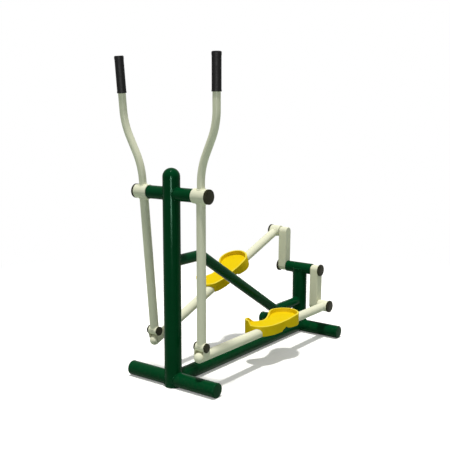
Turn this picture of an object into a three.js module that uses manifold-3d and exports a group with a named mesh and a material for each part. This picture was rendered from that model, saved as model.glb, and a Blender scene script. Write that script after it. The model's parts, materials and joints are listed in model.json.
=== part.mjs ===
import * as THREE from 'three';
import { mergeVertices } from 'three/addons/utils/BufferGeometryUtils.js';
import Module from 'manifold-3d';

// An outdoor walker: a green steel frame, two swinging hand levers, a crank at the rear and two
// pedal bars that join each lever to its crank pin.
// Lengths are millimetres and angles are radians. +Z is up, the user faces -Y towards the main post,
// and +X is the user's left. The origin is the middle of the main post's flat foot on the ground.

const wasm = await Module();
wasm.setup();

// Driving sizes of the whole walker
const wheelbase = 1229;
const postTop = 1120;
const crossBarDrop = 129;
const crankHeight = 410;
const crankRadius = 219;
const crankLean = THREE.MathUtils.degToRad(1);
const leverPlane = 187;
const leverTop = 677;
const gripOffset = 95;
const pedalBarShort = 4;

// Driving sizes of the tubes
const postRadius = 44.5;
const postWall = 4;
const groundTubeRadius = 38;
const groundTubeWall = 3.5;
const groundTubeHalf = 281;
const braceRadius = 28.5;
const braceWall = 3;
const crossBarRadius = 34;
const crossBarWall = 5;
const leverTubeRadius = 23;
const handTubeRadius = 19.5;
const handTubeWall = 2.5;
const pedalBarRadius = 26;
const pivotSleeveRadius = 23;
const tubeWall = 3;

// Clearances and how finely round things are faceted
const seatGap = 0.3;
const thrustGap = 0.4;
const runningGap = 1;
const cutOverrun = 5;
const weldTolerance = 0.001;
const bigSides = 26;
const smallSides = 18;
const bentSides = 14;
const lidSteps = 2;
const ballSteps = 4;
const bendSteps = 3;

// Places that follow: the pedal bar lies level while its crank hangs, and its lever then hangs too.
const crossBarHeight = postTop - crossBarDrop;
const pivotRise = pedalBarRadius + pivotSleeveRadius + runningGap;
const leverReach = crossBarHeight - (crankHeight - crankRadius) - pivotRise;
const pedalBarReach = wheelbase - pedalBarShort;

const finishes = {
  greenPaint: { color: 0x0a3f26, roughness: 0.35, metalness: 0.1 },
  creamPaint: { color: 0xe9e8cf, roughness: 0.4, metalness: 0.05 },
  yellowMoulding: { color: 0xf2c50f, roughness: 0.5, metalness: 0 },
  blackRubber: { color: 0x1d1d1b, roughness: 0.85, metalness: 0 },
  blackCap: { color: 0x2b2922, roughness: 0.45, metalness: 0 },
  brightSteel: { color: 0xb9bcc0, roughness: 0.3, metalness: 1 },
};

// Solids and cuts

function toSolid(geometry) {
  const bare = geometry.clone();
  bare.deleteAttribute('normal');
  bare.deleteAttribute('uv');
  const merged = mergeVertices(bare, weldTolerance);
  const vertProperties = merged.getAttribute('position').array;
  const triVerts = new Uint32Array(merged.index.array);
  const solid = new wasm.Manifold(new wasm.Mesh({ numProp: 3, vertProperties, triVerts }));
  if (solid.volume() > 0) return solid;
  const turned = triVerts.map((_, i) => triVerts[i % 3 === 0 ? i : i + (i % 3 === 1 ? 1 : -1)]);
  return new wasm.Manifold(new wasm.Mesh({ numProp: 3, vertProperties, triVerts: turned }));
}

function toGeometry(solid) {
  const mesh = solid.getMesh();
  const geometry = new THREE.BufferGeometry();
  geometry.setAttribute('position', new THREE.BufferAttribute(new Float32Array(mesh.vertProperties), 3));
  geometry.setIndex(new THREE.BufferAttribute(new Uint32Array(mesh.triVerts), 1));
  geometry.computeVertexNormals();
  return geometry;
}

// Turns a profile of [radius, place along the axis] pairs round the X, Y or Z axis, with a flat
// facet underneath.
function revolve(profile, axis, sides = bigSides) {
  const points = profile.map(([radius, along]) => new THREE.Vector2(Math.max(radius, 0), along));
  const geometry = new THREE.LatheGeometry(points, sides, Math.PI / sides);
  if (axis === 'x') geometry.rotateZ(-Math.PI / 2);
  if (axis === 'z') geometry.rotateX(Math.PI / 2);
  return toSolid(geometry);
}

function rod(radius, from, to, axis, sides = bigSides) {
  return revolve([[0, from], [radius, from], [radius, to], [0, to]], axis, sides);
}

function tube(radius, wall, from, to, axis, sides = bigSides) {
  const inner = radius - wall;
  const profile = [[inner, from], [radius, from], [radius, to], [inner, to], [inner, from]];
  return revolve(profile, axis, sides);
}

function box(minimum, maximum) {
  const size = maximum.map((high, i) => high - minimum[i]);
  const geometry = new THREE.BoxGeometry(...size);
  geometry.translate(...minimum.map((low, i) => low + size[i] / 2));
  return toSolid(geometry);
}

// Points of a quarter circle round a centre given as [radius, along], from one angle to another.
function arc(centre, radiusOut, radiusAlong, start, end, steps = lidSteps) {
  return Array.from({ length: steps + 1 }, (_, i) => {
    const angle = start + ((end - start) * i) / steps;
    return [centre[0] + radiusOut * Math.cos(angle), centre[1] + radiusAlong * Math.sin(angle)];
  });
}

// A flat outline of [y, z] points carried along X from one place to another.
function slabAcross(outline, from, to) {
  const shape = new THREE.Shape(outline.map(([y, z]) => new THREE.Vector2(y, z)));
  const geometry = new THREE.ExtrudeGeometry(shape, { depth: to - from, bevelEnabled: false });
  geometry.rotateY(Math.PI / 2);
  geometry.rotateX(Math.PI / 2);
  geometry.translate(from, 0, 0);
  return toSolid(geometry);
}

// A flat outline of [x, y] points carried along Z from one height to another.
function slabUp(outline, from, to) {
  const shape = new THREE.Shape(outline.map(([x, y]) => new THREE.Vector2(x, y)));
  const geometry = new THREE.ExtrudeGeometry(shape, { depth: to - from, bevelEnabled: false });
  geometry.translate(0, 0, from);
  return toSolid(geometry);
}

// The middle line of a bent tube: straight runs through the corners, with an arc of one radius at
// each corner. Its parameter counts stations, so each straight run is one step.
class BentLine extends THREE.Curve {
  constructor(corners, bendRadius) {
    super();
    this.runs = [];
    let start = corners[0];
    for (let i = 1; i < corners.length - 1; i += 1) {
      const along = corners[i].clone().sub(corners[i - 1]).normalize();
      const onward = corners[i + 1].clone().sub(corners[i]).normalize();
      const turn = along.angleTo(onward);
      const tangent = bendRadius * Math.tan(turn / 2);
      const bendStart = corners[i].clone().addScaledVector(along, -tangent);
      const across = onward.clone().addScaledVector(along, -Math.cos(turn)).normalize();
      this.addStraight(start, bendStart);
      this.addBend(bendStart, along, across, turn, bendRadius);
      start = corners[i].clone().addScaledVector(onward, tangent);
    }
    this.addStraight(start, corners[corners.length - 1]);
    this.steps = this.runs.reduce((sum, run) => sum + run.steps, 0);
  }

  addStraight(from, to) {
    this.runs.push({ steps: 1, at: (s) => from.clone().lerp(to, s) });
  }

  addBend(from, along, across, turn, radius) {
    const at = (s) => {
      const onward = from.clone().addScaledVector(along, radius * Math.sin(turn * s));
      return onward.addScaledVector(across, radius * (1 - Math.cos(turn * s)));
    };
    this.runs.push({ steps: bendSteps, at });
  }

  getPoint(t) {
    let place = t * this.steps;
    for (const run of this.runs) {
      if (place <= run.steps) return run.at(place / run.steps);
      place -= run.steps;
    }
    return this.runs[this.runs.length - 1].at(1);
  }

  getUtoTmapping(u) {
    return u;
  }
}

function circlePoints(radius, sides) {
  return Array.from({ length: sides }, (_, i) => {
    const angle = (2 * Math.PI * (i + 1 / 2)) / sides;
    return new THREE.Vector2(radius * Math.cos(angle), radius * Math.sin(angle));
  });
}

function bentTube(corners, bendRadius, radius, wall, sides) {
  const line = new BentLine(corners.map((corner) => new THREE.Vector3(...corner)), bendRadius);
  const section = new THREE.Shape(circlePoints(radius, sides));
  section.holes.push(new THREE.Path(circlePoints(radius - wall, sides)));
  return toSolid(new THREE.ExtrudeGeometry(section, { steps: line.steps, extrudePath: line }));
}

// The scene

const walker = new THREE.Group();

function add(parent, name, solid, finish) {
  const mesh = new THREE.Mesh(toGeometry(solid), new THREE.MeshStandardMaterial(finishes[finish]));
  mesh.name = name;
  parent.add(mesh);
  return mesh;
}

const sides = [
  { name: 'left', sign: 1, crankStart: 0 },
  { name: 'right', sign: -1, crankStart: Math.PI },
];

// Where the linkage of one side stands: the lever's swing, the pedal bar's slope and its pivot.
function restLinkage(side) {
  const crankAngle = side.crankStart - crankLean;
  const pinY = wheelbase + crankRadius * Math.sin(crankAngle);
  const pinZ = crankHeight - crankRadius * Math.cos(crankAngle);
  const barSpan = Math.hypot(pedalBarReach, pivotRise);
  const span = Math.hypot(pinY, crossBarHeight - pinZ);
  const lineAngle = Math.atan2(pinY, crossBarHeight - pinZ);
  const corner = (leverReach ** 2 + span ** 2 - barSpan ** 2) / (2 * leverReach * span);
  const swing = lineAngle - Math.acos(corner);
  const pivotY = leverReach * Math.sin(swing);
  const pivotZ = crossBarHeight - leverReach * Math.cos(swing);
  const slope = Math.atan2(pinZ - pivotZ, pinY - pivotY) + Math.atan2(pivotRise, pedalBarReach);
  return { swing, slope, pivotY, pivotZ };
}

// Frame

const groundAxis = groundTubeRadius * Math.cos(Math.PI / bigSides);
const footPlateThickness = 6;
const domeBase = postTop - postRadius;

function makeMainPost() {
  const post = tube(postRadius, postWall, footPlateThickness + seatGap, domeBase, 'z');
  const passage = rod(crossBarRadius + seatGap, -postRadius - cutOverrun, postRadius + cutOverrun, 'x');
  return post.subtract(passage.translate([0, 0, crossBarHeight]));
}

function makePostDome() {
  const inner = postRadius - postWall;
  const outside = arc([0, 0], postRadius, postRadius, 0, Math.PI / 2, ballSteps);
  const inside = arc([0, 0], inner, inner, Math.PI / 2, 0);
  const dome = revolve([...inside, ...outside], 'z');
  return dome.translate([0, 0, domeBase + seatGap]);
}

function postCutter(y) {
  const cutter = rod(postRadius + seatGap, -cutOverrun, postTop, 'z');
  return cutter.translate([0, y, 0]);
}

function makeFrontTube(sign) {
  const run = tube(groundTubeRadius, groundTubeWall, 0, groundTubeHalf, 'x');
  const placed = run.scale([sign, 1, 1]).translate([0, 0, groundAxis]);
  return placed.subtract(postCutter(0));
}

// A welded end cap: a slightly domed lid of the tube's own size.
const endLid = 4;
const endDome = 5;

function makeEndCap(sign, y) {
  const lidStart = groundTubeHalf + seatGap;
  const rim = arc([0, lidStart + endLid], groundTubeRadius, endDome, 0, Math.PI / 2);
  const cap = revolve([[0, lidStart], [groundTubeRadius, lidStart], ...rim], 'x');
  return cap.scale([sign, 1, 1]).translate([0, y, groundAxis]);
}

function makeBaseBeam() {
  const run = tube(groundTubeRadius, groundTubeWall, 0, wheelbase, 'y').translate([0, 0, groundAxis]);
  return run.subtract(postCutter(0)).subtract(groundCutter(0)).subtract(groundCutter(wheelbase));
}

function groundCutter(y) {
  const reach = groundTubeHalf + cutOverrun;
  const cutter = rod(groundTubeRadius + seatGap, -reach, reach, 'x');
  return cutter.translate([0, y, groundAxis]);
}

function makeRearPost() {
  const post = tube(postRadius, postWall, groundAxis, crankHeight, 'z').translate([0, wheelbase, 0]);
  const beam = rod(groundTubeRadius + seatGap, 0, wheelbase, 'y').translate([0, 0, groundAxis]);
  const head = rod(crankHeadRadius + seatGap, -postRadius - cutOverrun, postRadius + cutOverrun, 'x');
  const seated = post.subtract(groundCutter(wheelbase)).subtract(beam);
  return seated.subtract(head.translate([0, wheelbase, crankHeight]));
}

// Crank head: the bearing housing across the top of the rear post. It is as long as leaves room
// for a crank arm and a pin sleeve out to the plane of each pedal bar.
const crankHeadRadius = 34;
const crankHeadWall = 7;
const shaftRadius = 15;
const bearingWidth = 18;
const armThickness = 54;
const pinSleeveIn = 40;
const pinNeckLength = 2;
const armOuter = leverPlane - pinSleeveIn - pinNeckLength;
const armInner = armOuter - armThickness;
const crankHeadHalf = armInner - runningGap;

function makeCrankHead() {
  const head = tube(crankHeadRadius, crankHeadWall, -crankHeadHalf, crankHeadHalf, 'x');
  return head.translate([0, wheelbase, crankHeight]);
}

// A sealed bearing as one ring, from zero to its width along X.
function bearing(outer, inner, width) {
  return tube(outer, outer - inner, 0, width, 'x', smallSides);
}

function makeCrankBearing(sign) {
  const ring = bearing(crankHeadRadius - crankHeadWall - seatGap, shaftRadius + seatGap, bearingWidth);
  const placed = ring.translate([crankHeadHalf - bearingWidth, 0, 0]);
  return placed.scale([sign, 1, 1]).translate([0, wheelbase, crankHeight]);
}

// Brace: level from the main post, down a slant, and level into the foot of the rear post.
const braceHigh = 648;
const braceLow = 198;
const braceHighReach = 226;
const braceRearRun = 283;
const braceBendRadius = 110;

function makeBrace() {
  const corners = [
    [0, 0, braceHigh], [0, braceHighReach, braceHigh],
    [0, wheelbase - braceRearRun, braceLow], [0, wheelbase, braceLow],
  ];
  const bent = bentTube(corners, braceBendRadius, braceRadius, braceWall, bentSides);
  return bent.subtract(postCutter(0)).subtract(postCutter(wheelbase));
}

// Cross bar and the axle that it carries for the two levers
const hubHalf = 41;
const hubRadius = 37;
const hubWall = 9;
const crossBarHalf = leverPlane - hubHalf - thrustGap;
const axleRadius = 15;
const axleCollarLength = 30;
const axleEndGap = 3;
const hubCapPlug = 5;

function makeCrossBar() {
  const bar = tube(crossBarRadius, crossBarWall, -crossBarHalf, crossBarHalf, 'x');
  return bar.translate([0, 0, crossBarHeight]);
}

function makeCrossAxle() {
  const collar = crossBarRadius - crossBarWall - seatGap;
  const axleHalf = leverPlane + hubHalf - hubCapPlug - axleEndGap;
  const collarIn = crossBarHalf - axleCollarLength;
  const half = [
    [axleRadius, collarIn], [collar, collarIn], [collar, crossBarHalf],
    [axleRadius, crossBarHalf], [axleRadius, axleHalf], [0, axleHalf],
  ];
  const mirrored = half.map(([radius, x]) => [radius, -x]).reverse();
  return revolve([...mirrored, ...half], 'x', smallSides).translate([0, 0, crossBarHeight]);
}

function makeFrame() {
  const frame = new THREE.Group();
  const footPlate = rod(postRadius, 0, footPlateThickness, 'z');
  add(frame, 'main_post', makeMainPost(), 'greenPaint');
  add(frame, 'post_foot_plate', footPlate, 'greenPaint');
  add(frame, 'post_dome', makePostDome(), 'greenPaint');
  add(frame, 'base_beam', makeBaseBeam(), 'greenPaint');
  const rearTube = tube(groundTubeRadius, groundTubeWall, -groundTubeHalf, groundTubeHalf, 'x');
  add(frame, 'rear_cross_tube', rearTube.translate([0, wheelbase, groundAxis]), 'greenPaint');
  add(frame, 'rear_post', makeRearPost(), 'greenPaint');
  add(frame, 'crank_head', makeCrankHead(), 'greenPaint');
  add(frame, 'brace_tube', makeBrace(), 'greenPaint');
  add(frame, 'cross_bar', makeCrossBar(), 'greenPaint');
  add(frame, 'cross_axle', makeCrossAxle(), 'brightSteel');
  for (const { name, sign } of sides) {
    add(frame, `${name}_front_tube`, makeFrontTube(sign), 'greenPaint');
    add(frame, `${name}_front_cap`, makeEndCap(sign, 0), 'greenPaint');
    add(frame, `${name}_rear_cap`, makeEndCap(sign, wheelbase), 'greenPaint');
    add(frame, `${name}_crank_bearing`, makeCrankBearing(sign), 'brightSteel');
  }
  return frame;
}

// Black end cap for a sleeve or a hub: a plug, a round lid and a low dome.
function roundCap(radius, lid, dome, plugRadius, plugDepth) {
  const plug = [[0, -plugDepth], [plugRadius, -plugDepth], [plugRadius, 0], [radius, 0]];
  const rim = arc([0, lid], radius, dome, 0, Math.PI / 2);
  return revolve([...plug, ...rim], 'x', smallSides);
}

// Crankset: one shaft, two arms that point opposite ways, and a cap over each end of the shaft
const armHalfWidth = 29;
const crankCapRadius = 36.5;
const crankCapLid = 8;
const crankCapDome = 4;
const crankCapPlug = 8;
const shaftEndGap = 6;

function makeCrankArm(sign) {
  const lower = arc([0, -crankRadius], armHalfWidth, armHalfWidth, Math.PI, 2 * Math.PI, smallSides / 2);
  const upper = arc([0, 0], armHalfWidth, armHalfWidth, 0, Math.PI, smallSides / 2);
  const body = slabAcross([...lower, ...upper], armInner, armOuter);
  const arm = body.subtract(rod(shaftRadius + seatGap, 0, armOuter + cutOverrun, 'x', smallSides));
  return arm.scale([sign, 1, sign]);
}

function makeCrankset() {
  const crankset = new THREE.Group();
  crankset.position.set(0, wheelbase, crankHeight);
  crankset.rotation.x = -crankLean;
  const shaftHalf = armOuter - crankCapPlug - shaftEndGap;
  const shaft = rod(shaftRadius, -shaftHalf, shaftHalf, 'x', smallSides);
  add(crankset, 'crank_shaft', shaft, 'brightSteel');
  for (const { name, sign } of sides) {
    add(crankset, `${name}_crank_arm`, makeCrankArm(sign), 'creamPaint');
    const cap = roundCap(crankCapRadius, crankCapLid, crankCapDome, shaftRadius, crankCapPlug);
    const placed = cap.translate([armOuter + seatGap, 0, 0]).scale([sign, 1, 1]);
    add(crankset, `${name}_crank_cap`, placed, 'blackCap');
  }
  return crankset;
}

// Hand lever: a hub on the cross axle, a straight tube down to the pivot sleeve and a bent tube up
// to the grip
const hubCapRadius = 37;
const hubCapLid = 11;
const hubCapDome = 4;
const pivotSleeveProud = 0.4;
const pivotSleeveHalf = Math.max(leverTubeRadius, pedalBarRadius) + pivotSleeveProud;
const pivotPinRadius = 8;
const handBendLow = 133;
const handSlantRise = 208;
const handBendRadius = 330;
const gripLength = 183;
const gripRadius = 24;
const gripRound = 8;
const gripTop = 5;

function hubCutter() {
  return rod(hubRadius + seatGap, -hubHalf - cutOverrun, hubHalf + cutOverrun, 'x');
}

function makeLeverTube() {
  const copeEnd = pivotSleeveRadius / 2 - leverReach;
  const run = tube(leverTubeRadius, tubeWall, copeEnd, 0, 'z', smallSides);
  const sleeveReach = pivotSleeveHalf + cutOverrun;
  const sleeve = rod(pivotSleeveRadius + seatGap, -sleeveReach, sleeveReach, 'x', smallSides);
  return run.subtract(hubCutter()).subtract(sleeve.translate([0, 0, -leverReach]));
}

function makeHandTube(sign) {
  const out = sign * gripOffset;
  const end = leverTop - gripTop - seatGap;
  const corners = [[0, 0, 0], [0, 0, handBendLow], [out, 0, handBendLow + handSlantRise], [out, 0, end]];
  const bent = bentTube(corners, handBendRadius, handTubeRadius, handTubeWall, bentSides);
  return bent.subtract(hubCutter());
}

function makeGrip(sign) {
  const inner = handTubeRadius / Math.cos(Math.PI / smallSides) + seatGap;
  const start = leverTop - gripLength;
  const roof = leverTop - gripTop;
  const bore = [[0, roof], [inner, roof], [inner, start], [gripRadius, start]];
  const round = arc([gripRadius - gripRound, leverTop - gripRound], gripRound, gripRound, 0, Math.PI / 2);
  const grip = revolve([...bore, ...round, [0, leverTop]], 'z', smallSides);
  return grip.translate([sign * gripOffset, 0, 0]);
}

function makeLever(side, linkage) {
  const lever = new THREE.Group();
  lever.position.set(side.sign * leverPlane, 0, crossBarHeight);
  lever.rotation.x = linkage.swing;
  const hub = tube(hubRadius, hubWall, -hubHalf, hubHalf, 'x');
  add(lever, `${side.name}_lever_hub`, hub, 'creamPaint');
  add(lever, `${side.name}_lever_tube`, makeLeverTube(), 'creamPaint');
  add(lever, `${side.name}_hand_tube`, makeHandTube(side.sign), 'creamPaint');
  add(lever, `${side.name}_grip`, makeGrip(side.sign), 'blackRubber');
  const hubBore = hubRadius - hubWall - seatGap;
  const packHalf = hubHalf - hubCapPlug - seatGap;
  const pack = bearing(hubBore, axleRadius + seatGap, 2 * packHalf);
  add(lever, `${side.name}_lever_bearing`, pack.translate([-packHalf, 0, 0]), 'brightSteel');
  const cap = roundCap(hubCapRadius, hubCapLid, hubCapDome, hubBore, hubCapPlug);
  const capPlaced = cap.translate([hubHalf + seatGap, 0, 0]).scale([side.sign, 1, 1]);
  add(lever, `${side.name}_hub_cap`, capPlaced, 'blackCap');
  const sleeveWall = pivotSleeveRadius - pivotPinRadius - seatGap;
  const sleeve = tube(pivotSleeveRadius, sleeveWall, -pivotSleeveHalf, pivotSleeveHalf, 'x', smallSides);
  add(lever, `${side.name}_pivot_sleeve`, sleeve.translate([0, 0, -leverReach]), 'creamPaint');
  return lever;
}

// Pedal bar. Its own frame has the pivot at the origin and the bar's axis along +Y below it.
const yokeThickness = 4;
const yokeRoom = 3;
const yokeGrip = 6;
const yokeShoulder = 14;
const earInset = 2.5;
const earFlare = 3;
const pivotCapProud = 0.5;
const pivotCapLid = 4;
const pivotCapDome = 1.6;
const barNose = 20;
const pinSleeveRadius = 34;
const pinSleeveWall = 8;
const pinSleeveOut = 27;
const crankPinRadius = 12.5;
const crankPinNeckRadius = 20;
const pinCapRadius = 36.5;
const pinCapLid = 9;
const pinCapDome = 5;
const pinCapPlug = 6;

function makeBarTube() {
  const nose = arc([0, -barNose], pedalBarRadius, pedalBarRadius, -Math.PI / 2, 0, ballSteps);
  const inner = pedalBarRadius - tubeWall;
  const hollow = arc([0, -barNose], inner, inner, 0, -Math.PI / 2, ballSteps);
  const outline = [...nose, [pedalBarRadius, pedalBarReach], [inner, pedalBarReach], ...hollow];
  const bar = revolve(outline, 'y', smallSides);
  const reach = pinSleeveIn + pinSleeveOut;
  const sleeve = rod(pinSleeveRadius + seatGap, -reach, reach, 'x');
  return bar.subtract(sleeve.translate([0, pedalBarReach, 0])).translate([0, 0, -pivotRise]);
}

const earInside = pivotSleeveHalf + thrustGap;
const earOutside = earInside + yokeThickness;

// Yoke: two ears and a rear web in one piece, saddled over the bar behind its nose and open to the
// front. The plan outline is a U, and the side outline has a round head about the pivot.
const earRadius = pivotSleeveRadius - earInset;

function makeYoke() {
  const reach = pivotSleeveRadius + yokeRoom + yokeThickness;
  const depth = pivotRise + yokeGrip;
  const top = pivotSleeveRadius + cutOverrun;
  const open = -reach - cutOverrun;
  const webFace = reach - yokeThickness;
  const corner = (x, start) => arc([x, webFace], yokeThickness, yokeThickness, start, start + Math.PI / 2);
  const plan = [
    [earOutside, open], ...corner(earInside, 0), ...corner(-earInside, Math.PI / 2),
    [-earOutside, open], [-earInside, open], [-earInside, webFace], [earInside, webFace], [earInside, open],
  ];
  const side = [
    [reach, -depth], [reach, -yokeShoulder],
    ...arc([0, 0], earRadius, earRadius, 0, Math.PI, smallSides / 2),
    [-earRadius - earFlare, -depth],
  ];
  const walls = slabUp(plan, -depth - cutOverrun, top);
  const across = earOutside + cutOverrun;
  const profile = slabAcross(side, -across, across);
  const seatRadius = pedalBarRadius + seatGap;
  const seat = rod(seatRadius, open, reach + cutOverrun, 'y', smallSides);
  const opening = box([-earInside, open, -pivotSleeveRadius / 2], [earInside, reach + cutOverrun, top]);
  const pin = rod(pivotPinRadius + seatGap, -across, across, 'x', smallSides);
  const seated = walls.intersect(profile).subtract(seat.translate([0, 0, -pivotRise]));
  return seated.subtract(opening).subtract(pin);
}

// Pivot cap: a black cup over the ear's round head. Its skirt stops where the ear runs down.
function makePivotCap() {
  const radius = pivotSleeveRadius + pivotCapProud;
  const inner = earRadius / Math.cos(Math.PI / smallSides) + seatGap;
  const rim = arc([0, pivotCapLid], radius, pivotCapDome, 0, Math.PI / 2);
  const hollow = [[0, 0], [inner, 0], [inner, -yokeThickness], [radius, -yokeThickness]];
  const cup = revolve([...hollow, ...rim], 'x', smallSides);
  const beyond = radius + cutOverrun;
  const passage = box([-yokeThickness - cutOverrun, -beyond, -beyond], [0, beyond, seatGap]);
  return cup.subtract(passage).translate([earOutside + seatGap, 0, 0]);
}

function makeCrankPin(sign) {
  const faceOut = armOuter + thrustGap - leverPlane;
  const neckEnd = -pinSleeveIn - thrustGap;
  const tip = pinSleeveOut - pinCapPlug - seatGap;
  const profile = [
    [0, faceOut], [crankPinNeckRadius, faceOut], [crankPinNeckRadius, neckEnd],
    [crankPinRadius, neckEnd], [crankPinRadius, tip], [0, tip],
  ];
  const pin = revolve(profile, 'x', smallSides).scale([sign, 1, 1]);
  return pin.translate([0, pedalBarReach, -pivotRise]);
}

// Pedal: a moulded foot-shaped tray. Its own frame has X across, the distance forward of the heel
// along -Y and the top of the tread at zero.
const pedalLength = 366;
const pedalHalfWidth = 95;
const pedalHeelShare = 0.69;
const treadThickness = 6;
const skirtWall = 5;
const skirtDepth = 56;
const heelSkirtDepth = 40;
const rimHeight = 17;
const rimWall = 8;
const lipHeight = 25;
const ribDepth = 22;
const ribThickness = 4;
const outlineCount = 40;

// The outline's points as shares: across in half widths and forward of the heel in lengths.
const pedalOutlineShares = [
  [0, 0], [0.62, 0.08], [0.95, 0.25], [0.88, 0.4], [0.67, 0.53], [0.63, 0.67], [0.56, 0.8],
  [0.28, 0.95], [-0.25, 1], [-0.78, 0.985], [-1.07, 0.9], [-0.86, 0.78], [-0.58, 0.65],
  [-0.68, 0.46], [-0.9, 0.32], [-0.9, 0.17], [-0.55, 0.04],
];
const rimFullShare = 0.3;
const rimEndShare = 0.56;
const skirtStepShare = 0.47;
const lipStartShare = 0.77;
const lipAcrossShare = 0.5;
const ribShares = [0.22, 0.5, 0.76];
const bracketStartShare = 0.16;
const bracketEndShare = 0.84;
const bracketHalfWidth = 32;
const bracketRise = 8;
const bracketGrip = 8;
const treadRise = pedalBarRadius + bracketRise + treadThickness;

function pedalOutline(inset) {
  const corners = pedalOutlineShares.map(([across, forward]) =>
    new THREE.Vector3(across * pedalHalfWidth, -forward * pedalLength, 0));
  const curve = new THREE.CatmullRomCurve3(corners, true, 'centripetal');
  return Array.from({ length: outlineCount }, (_, i) => {
    const u = i / outlineCount;
    const place = curve.getPointAt(u);
    const along = curve.getTangentAt(u);
    return [place.x + along.y * inset, place.y - along.x * inset];
  });
}

// The solid between two outlines' walls: the band that the skirt, the rim and the toe lip share.
function pedalBand(wall, from, to) {
  const core = slabUp(pedalOutline(wall), from - cutOverrun, to + cutOverrun);
  return slabUp(pedalOutline(0), from, to).subtract(core);
}

function makePedal() {
  const wide = 2 * pedalHalfWidth;
  const full = -rimFullShare * pedalLength;
  const end = -rimEndShare * pedalLength;
  const front = -pedalLength - cutOverrun;
  const tread = slabUp(pedalOutline(0), -treadThickness, 0);
  const skirt = pedalBand(skirtWall, -skirtDepth, -treadThickness / 2);
  const middle = -treadThickness / 2;
  const above = rimHeight + cutOverrun;
  const ramp = [[full, rimHeight], [full, above], [front, above], [front, 0], [end, 0]];
  const rim = pedalBand(rimWall, middle, rimHeight).subtract(slabAcross(ramp, -wide, wide));
  const lipCorner = [-lipAcrossShare * pedalHalfWidth, -lipStartShare * pedalLength, lipHeight];
  const lipBlock = box([-wide, front, -treadThickness], lipCorner);
  const lip = pedalBand(rimWall, middle, lipHeight).intersect(lipBlock);
  const stepCorner = [-wide, -skirtStepShare * pedalLength, -skirtDepth - cutOverrun];
  const stepCut = box(stepCorner, [wide, cutOverrun, -heelSkirtDepth]);
  const hull = slabUp(pedalOutline(skirtWall / 2), -treadThickness - ribDepth, middle);
  let body = tread.add(skirt).add(rim).add(lip).subtract(stepCut);
  for (const share of ribShares) {
    const y = -share * pedalLength;
    const rib = box([-wide, y - ribThickness / 2, -skirtDepth], [wide, y + ribThickness / 2, 0]);
    body = body.add(rib.intersect(hull));
  }
  const barRoom = rod(pedalBarRadius + 2 * seatGap, front - cutOverrun, 2 * cutOverrun, 'y', smallSides);
  return body.subtract(barRoom.translate([0, 0, -treadRise])).subtract(bracketBlock(seatGap));
}

// The pedal bracket's block under the tread, or with a room round it, the pocket that takes it.
function bracketBlock(room) {
  const width = bracketHalfWidth + room;
  const floor = -treadThickness - bracketRise - bracketGrip - room;
  const front = -bracketEndShare * pedalLength - room;
  const rear = -bracketStartShare * pedalLength + room;
  return box([-width, front, floor], [width, rear, -treadThickness - seatGap + room]);
}

function makeBracket() {
  const saddle = rod(pedalBarRadius + seatGap, -pedalLength, cutOverrun, 'y', smallSides);
  return bracketBlock(0).subtract(saddle.translate([0, 0, -treadRise]));
}

function makePedalBar(side, linkage) {
  const bar = new THREE.Group();
  bar.position.set(side.sign * leverPlane, linkage.pivotY, linkage.pivotZ);
  bar.rotation.x = linkage.slope;
  const named = (piece) => `${side.name}_${piece}`;
  add(bar, named('bar_tube'), makeBarTube(), 'creamPaint');
  add(bar, named('pivot_yoke'), makeYoke(), 'creamPaint');
  const pin = rod(pivotPinRadius, -earOutside, earOutside, 'x', smallSides);
  add(bar, named('pivot_pin'), pin, 'brightSteel');
  for (const [place, sign] of [['outer', side.sign], ['inner', -side.sign]]) {
    add(bar, named(`${place}_pivot_cap`), makePivotCap().scale([sign, 1, 1]), 'blackCap');
  }
  const atPin = [0, pedalBarReach, -pivotRise];
  const sleeve = tube(pinSleeveRadius, pinSleeveWall, -pinSleeveIn, pinSleeveOut, 'x');
  add(bar, named('pin_sleeve'), sleeve.scale([side.sign, 1, 1]).translate(atPin), 'creamPaint');
  const sleeveBore = pinSleeveRadius - pinSleeveWall - seatGap;
  const packLength = pinSleeveIn + pinSleeveOut - pinCapPlug - seatGap;
  const pack = bearing(sleeveBore, crankPinRadius + seatGap, packLength);
  const packPlaced = pack.translate([-pinSleeveIn, 0, 0]).scale([side.sign, 1, 1]).translate(atPin);
  add(bar, named('pin_bearing'), packPlaced, 'brightSteel');
  add(bar, named('crank_pin'), makeCrankPin(side.sign), 'brightSteel');
  const cap = roundCap(pinCapRadius, pinCapLid, pinCapDome, sleeveBore, pinCapPlug);
  const capPlaced = cap.translate([pinSleeveOut + seatGap, 0, 0]).scale([side.sign, 1, 1]).translate(atPin);
  add(bar, named('pin_cap'), capPlaced, 'blackCap');
  const atPedal = [0, pedalHeelShare * pedalBarReach, treadRise - pivotRise];
  add(bar, named('pedal_bracket'), makeBracket().translate(atPedal), 'creamPaint');
  add(bar, named('pedal'), makePedal().translate(atPedal), 'yellowMoulding');
  return bar;
}

walker.add(makeFrame());
walker.add(makeCrankset());
for (const side of sides) {
  const linkage = restLinkage(side);
  walker.add(makeLever(side, linkage));
  walker.add(makePedalBar(side, linkage));
}

export default walker;
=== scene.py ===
import json
import math

import bmesh
import bpy
import numpy as np
from mathutils import Matrix, Vector


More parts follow.
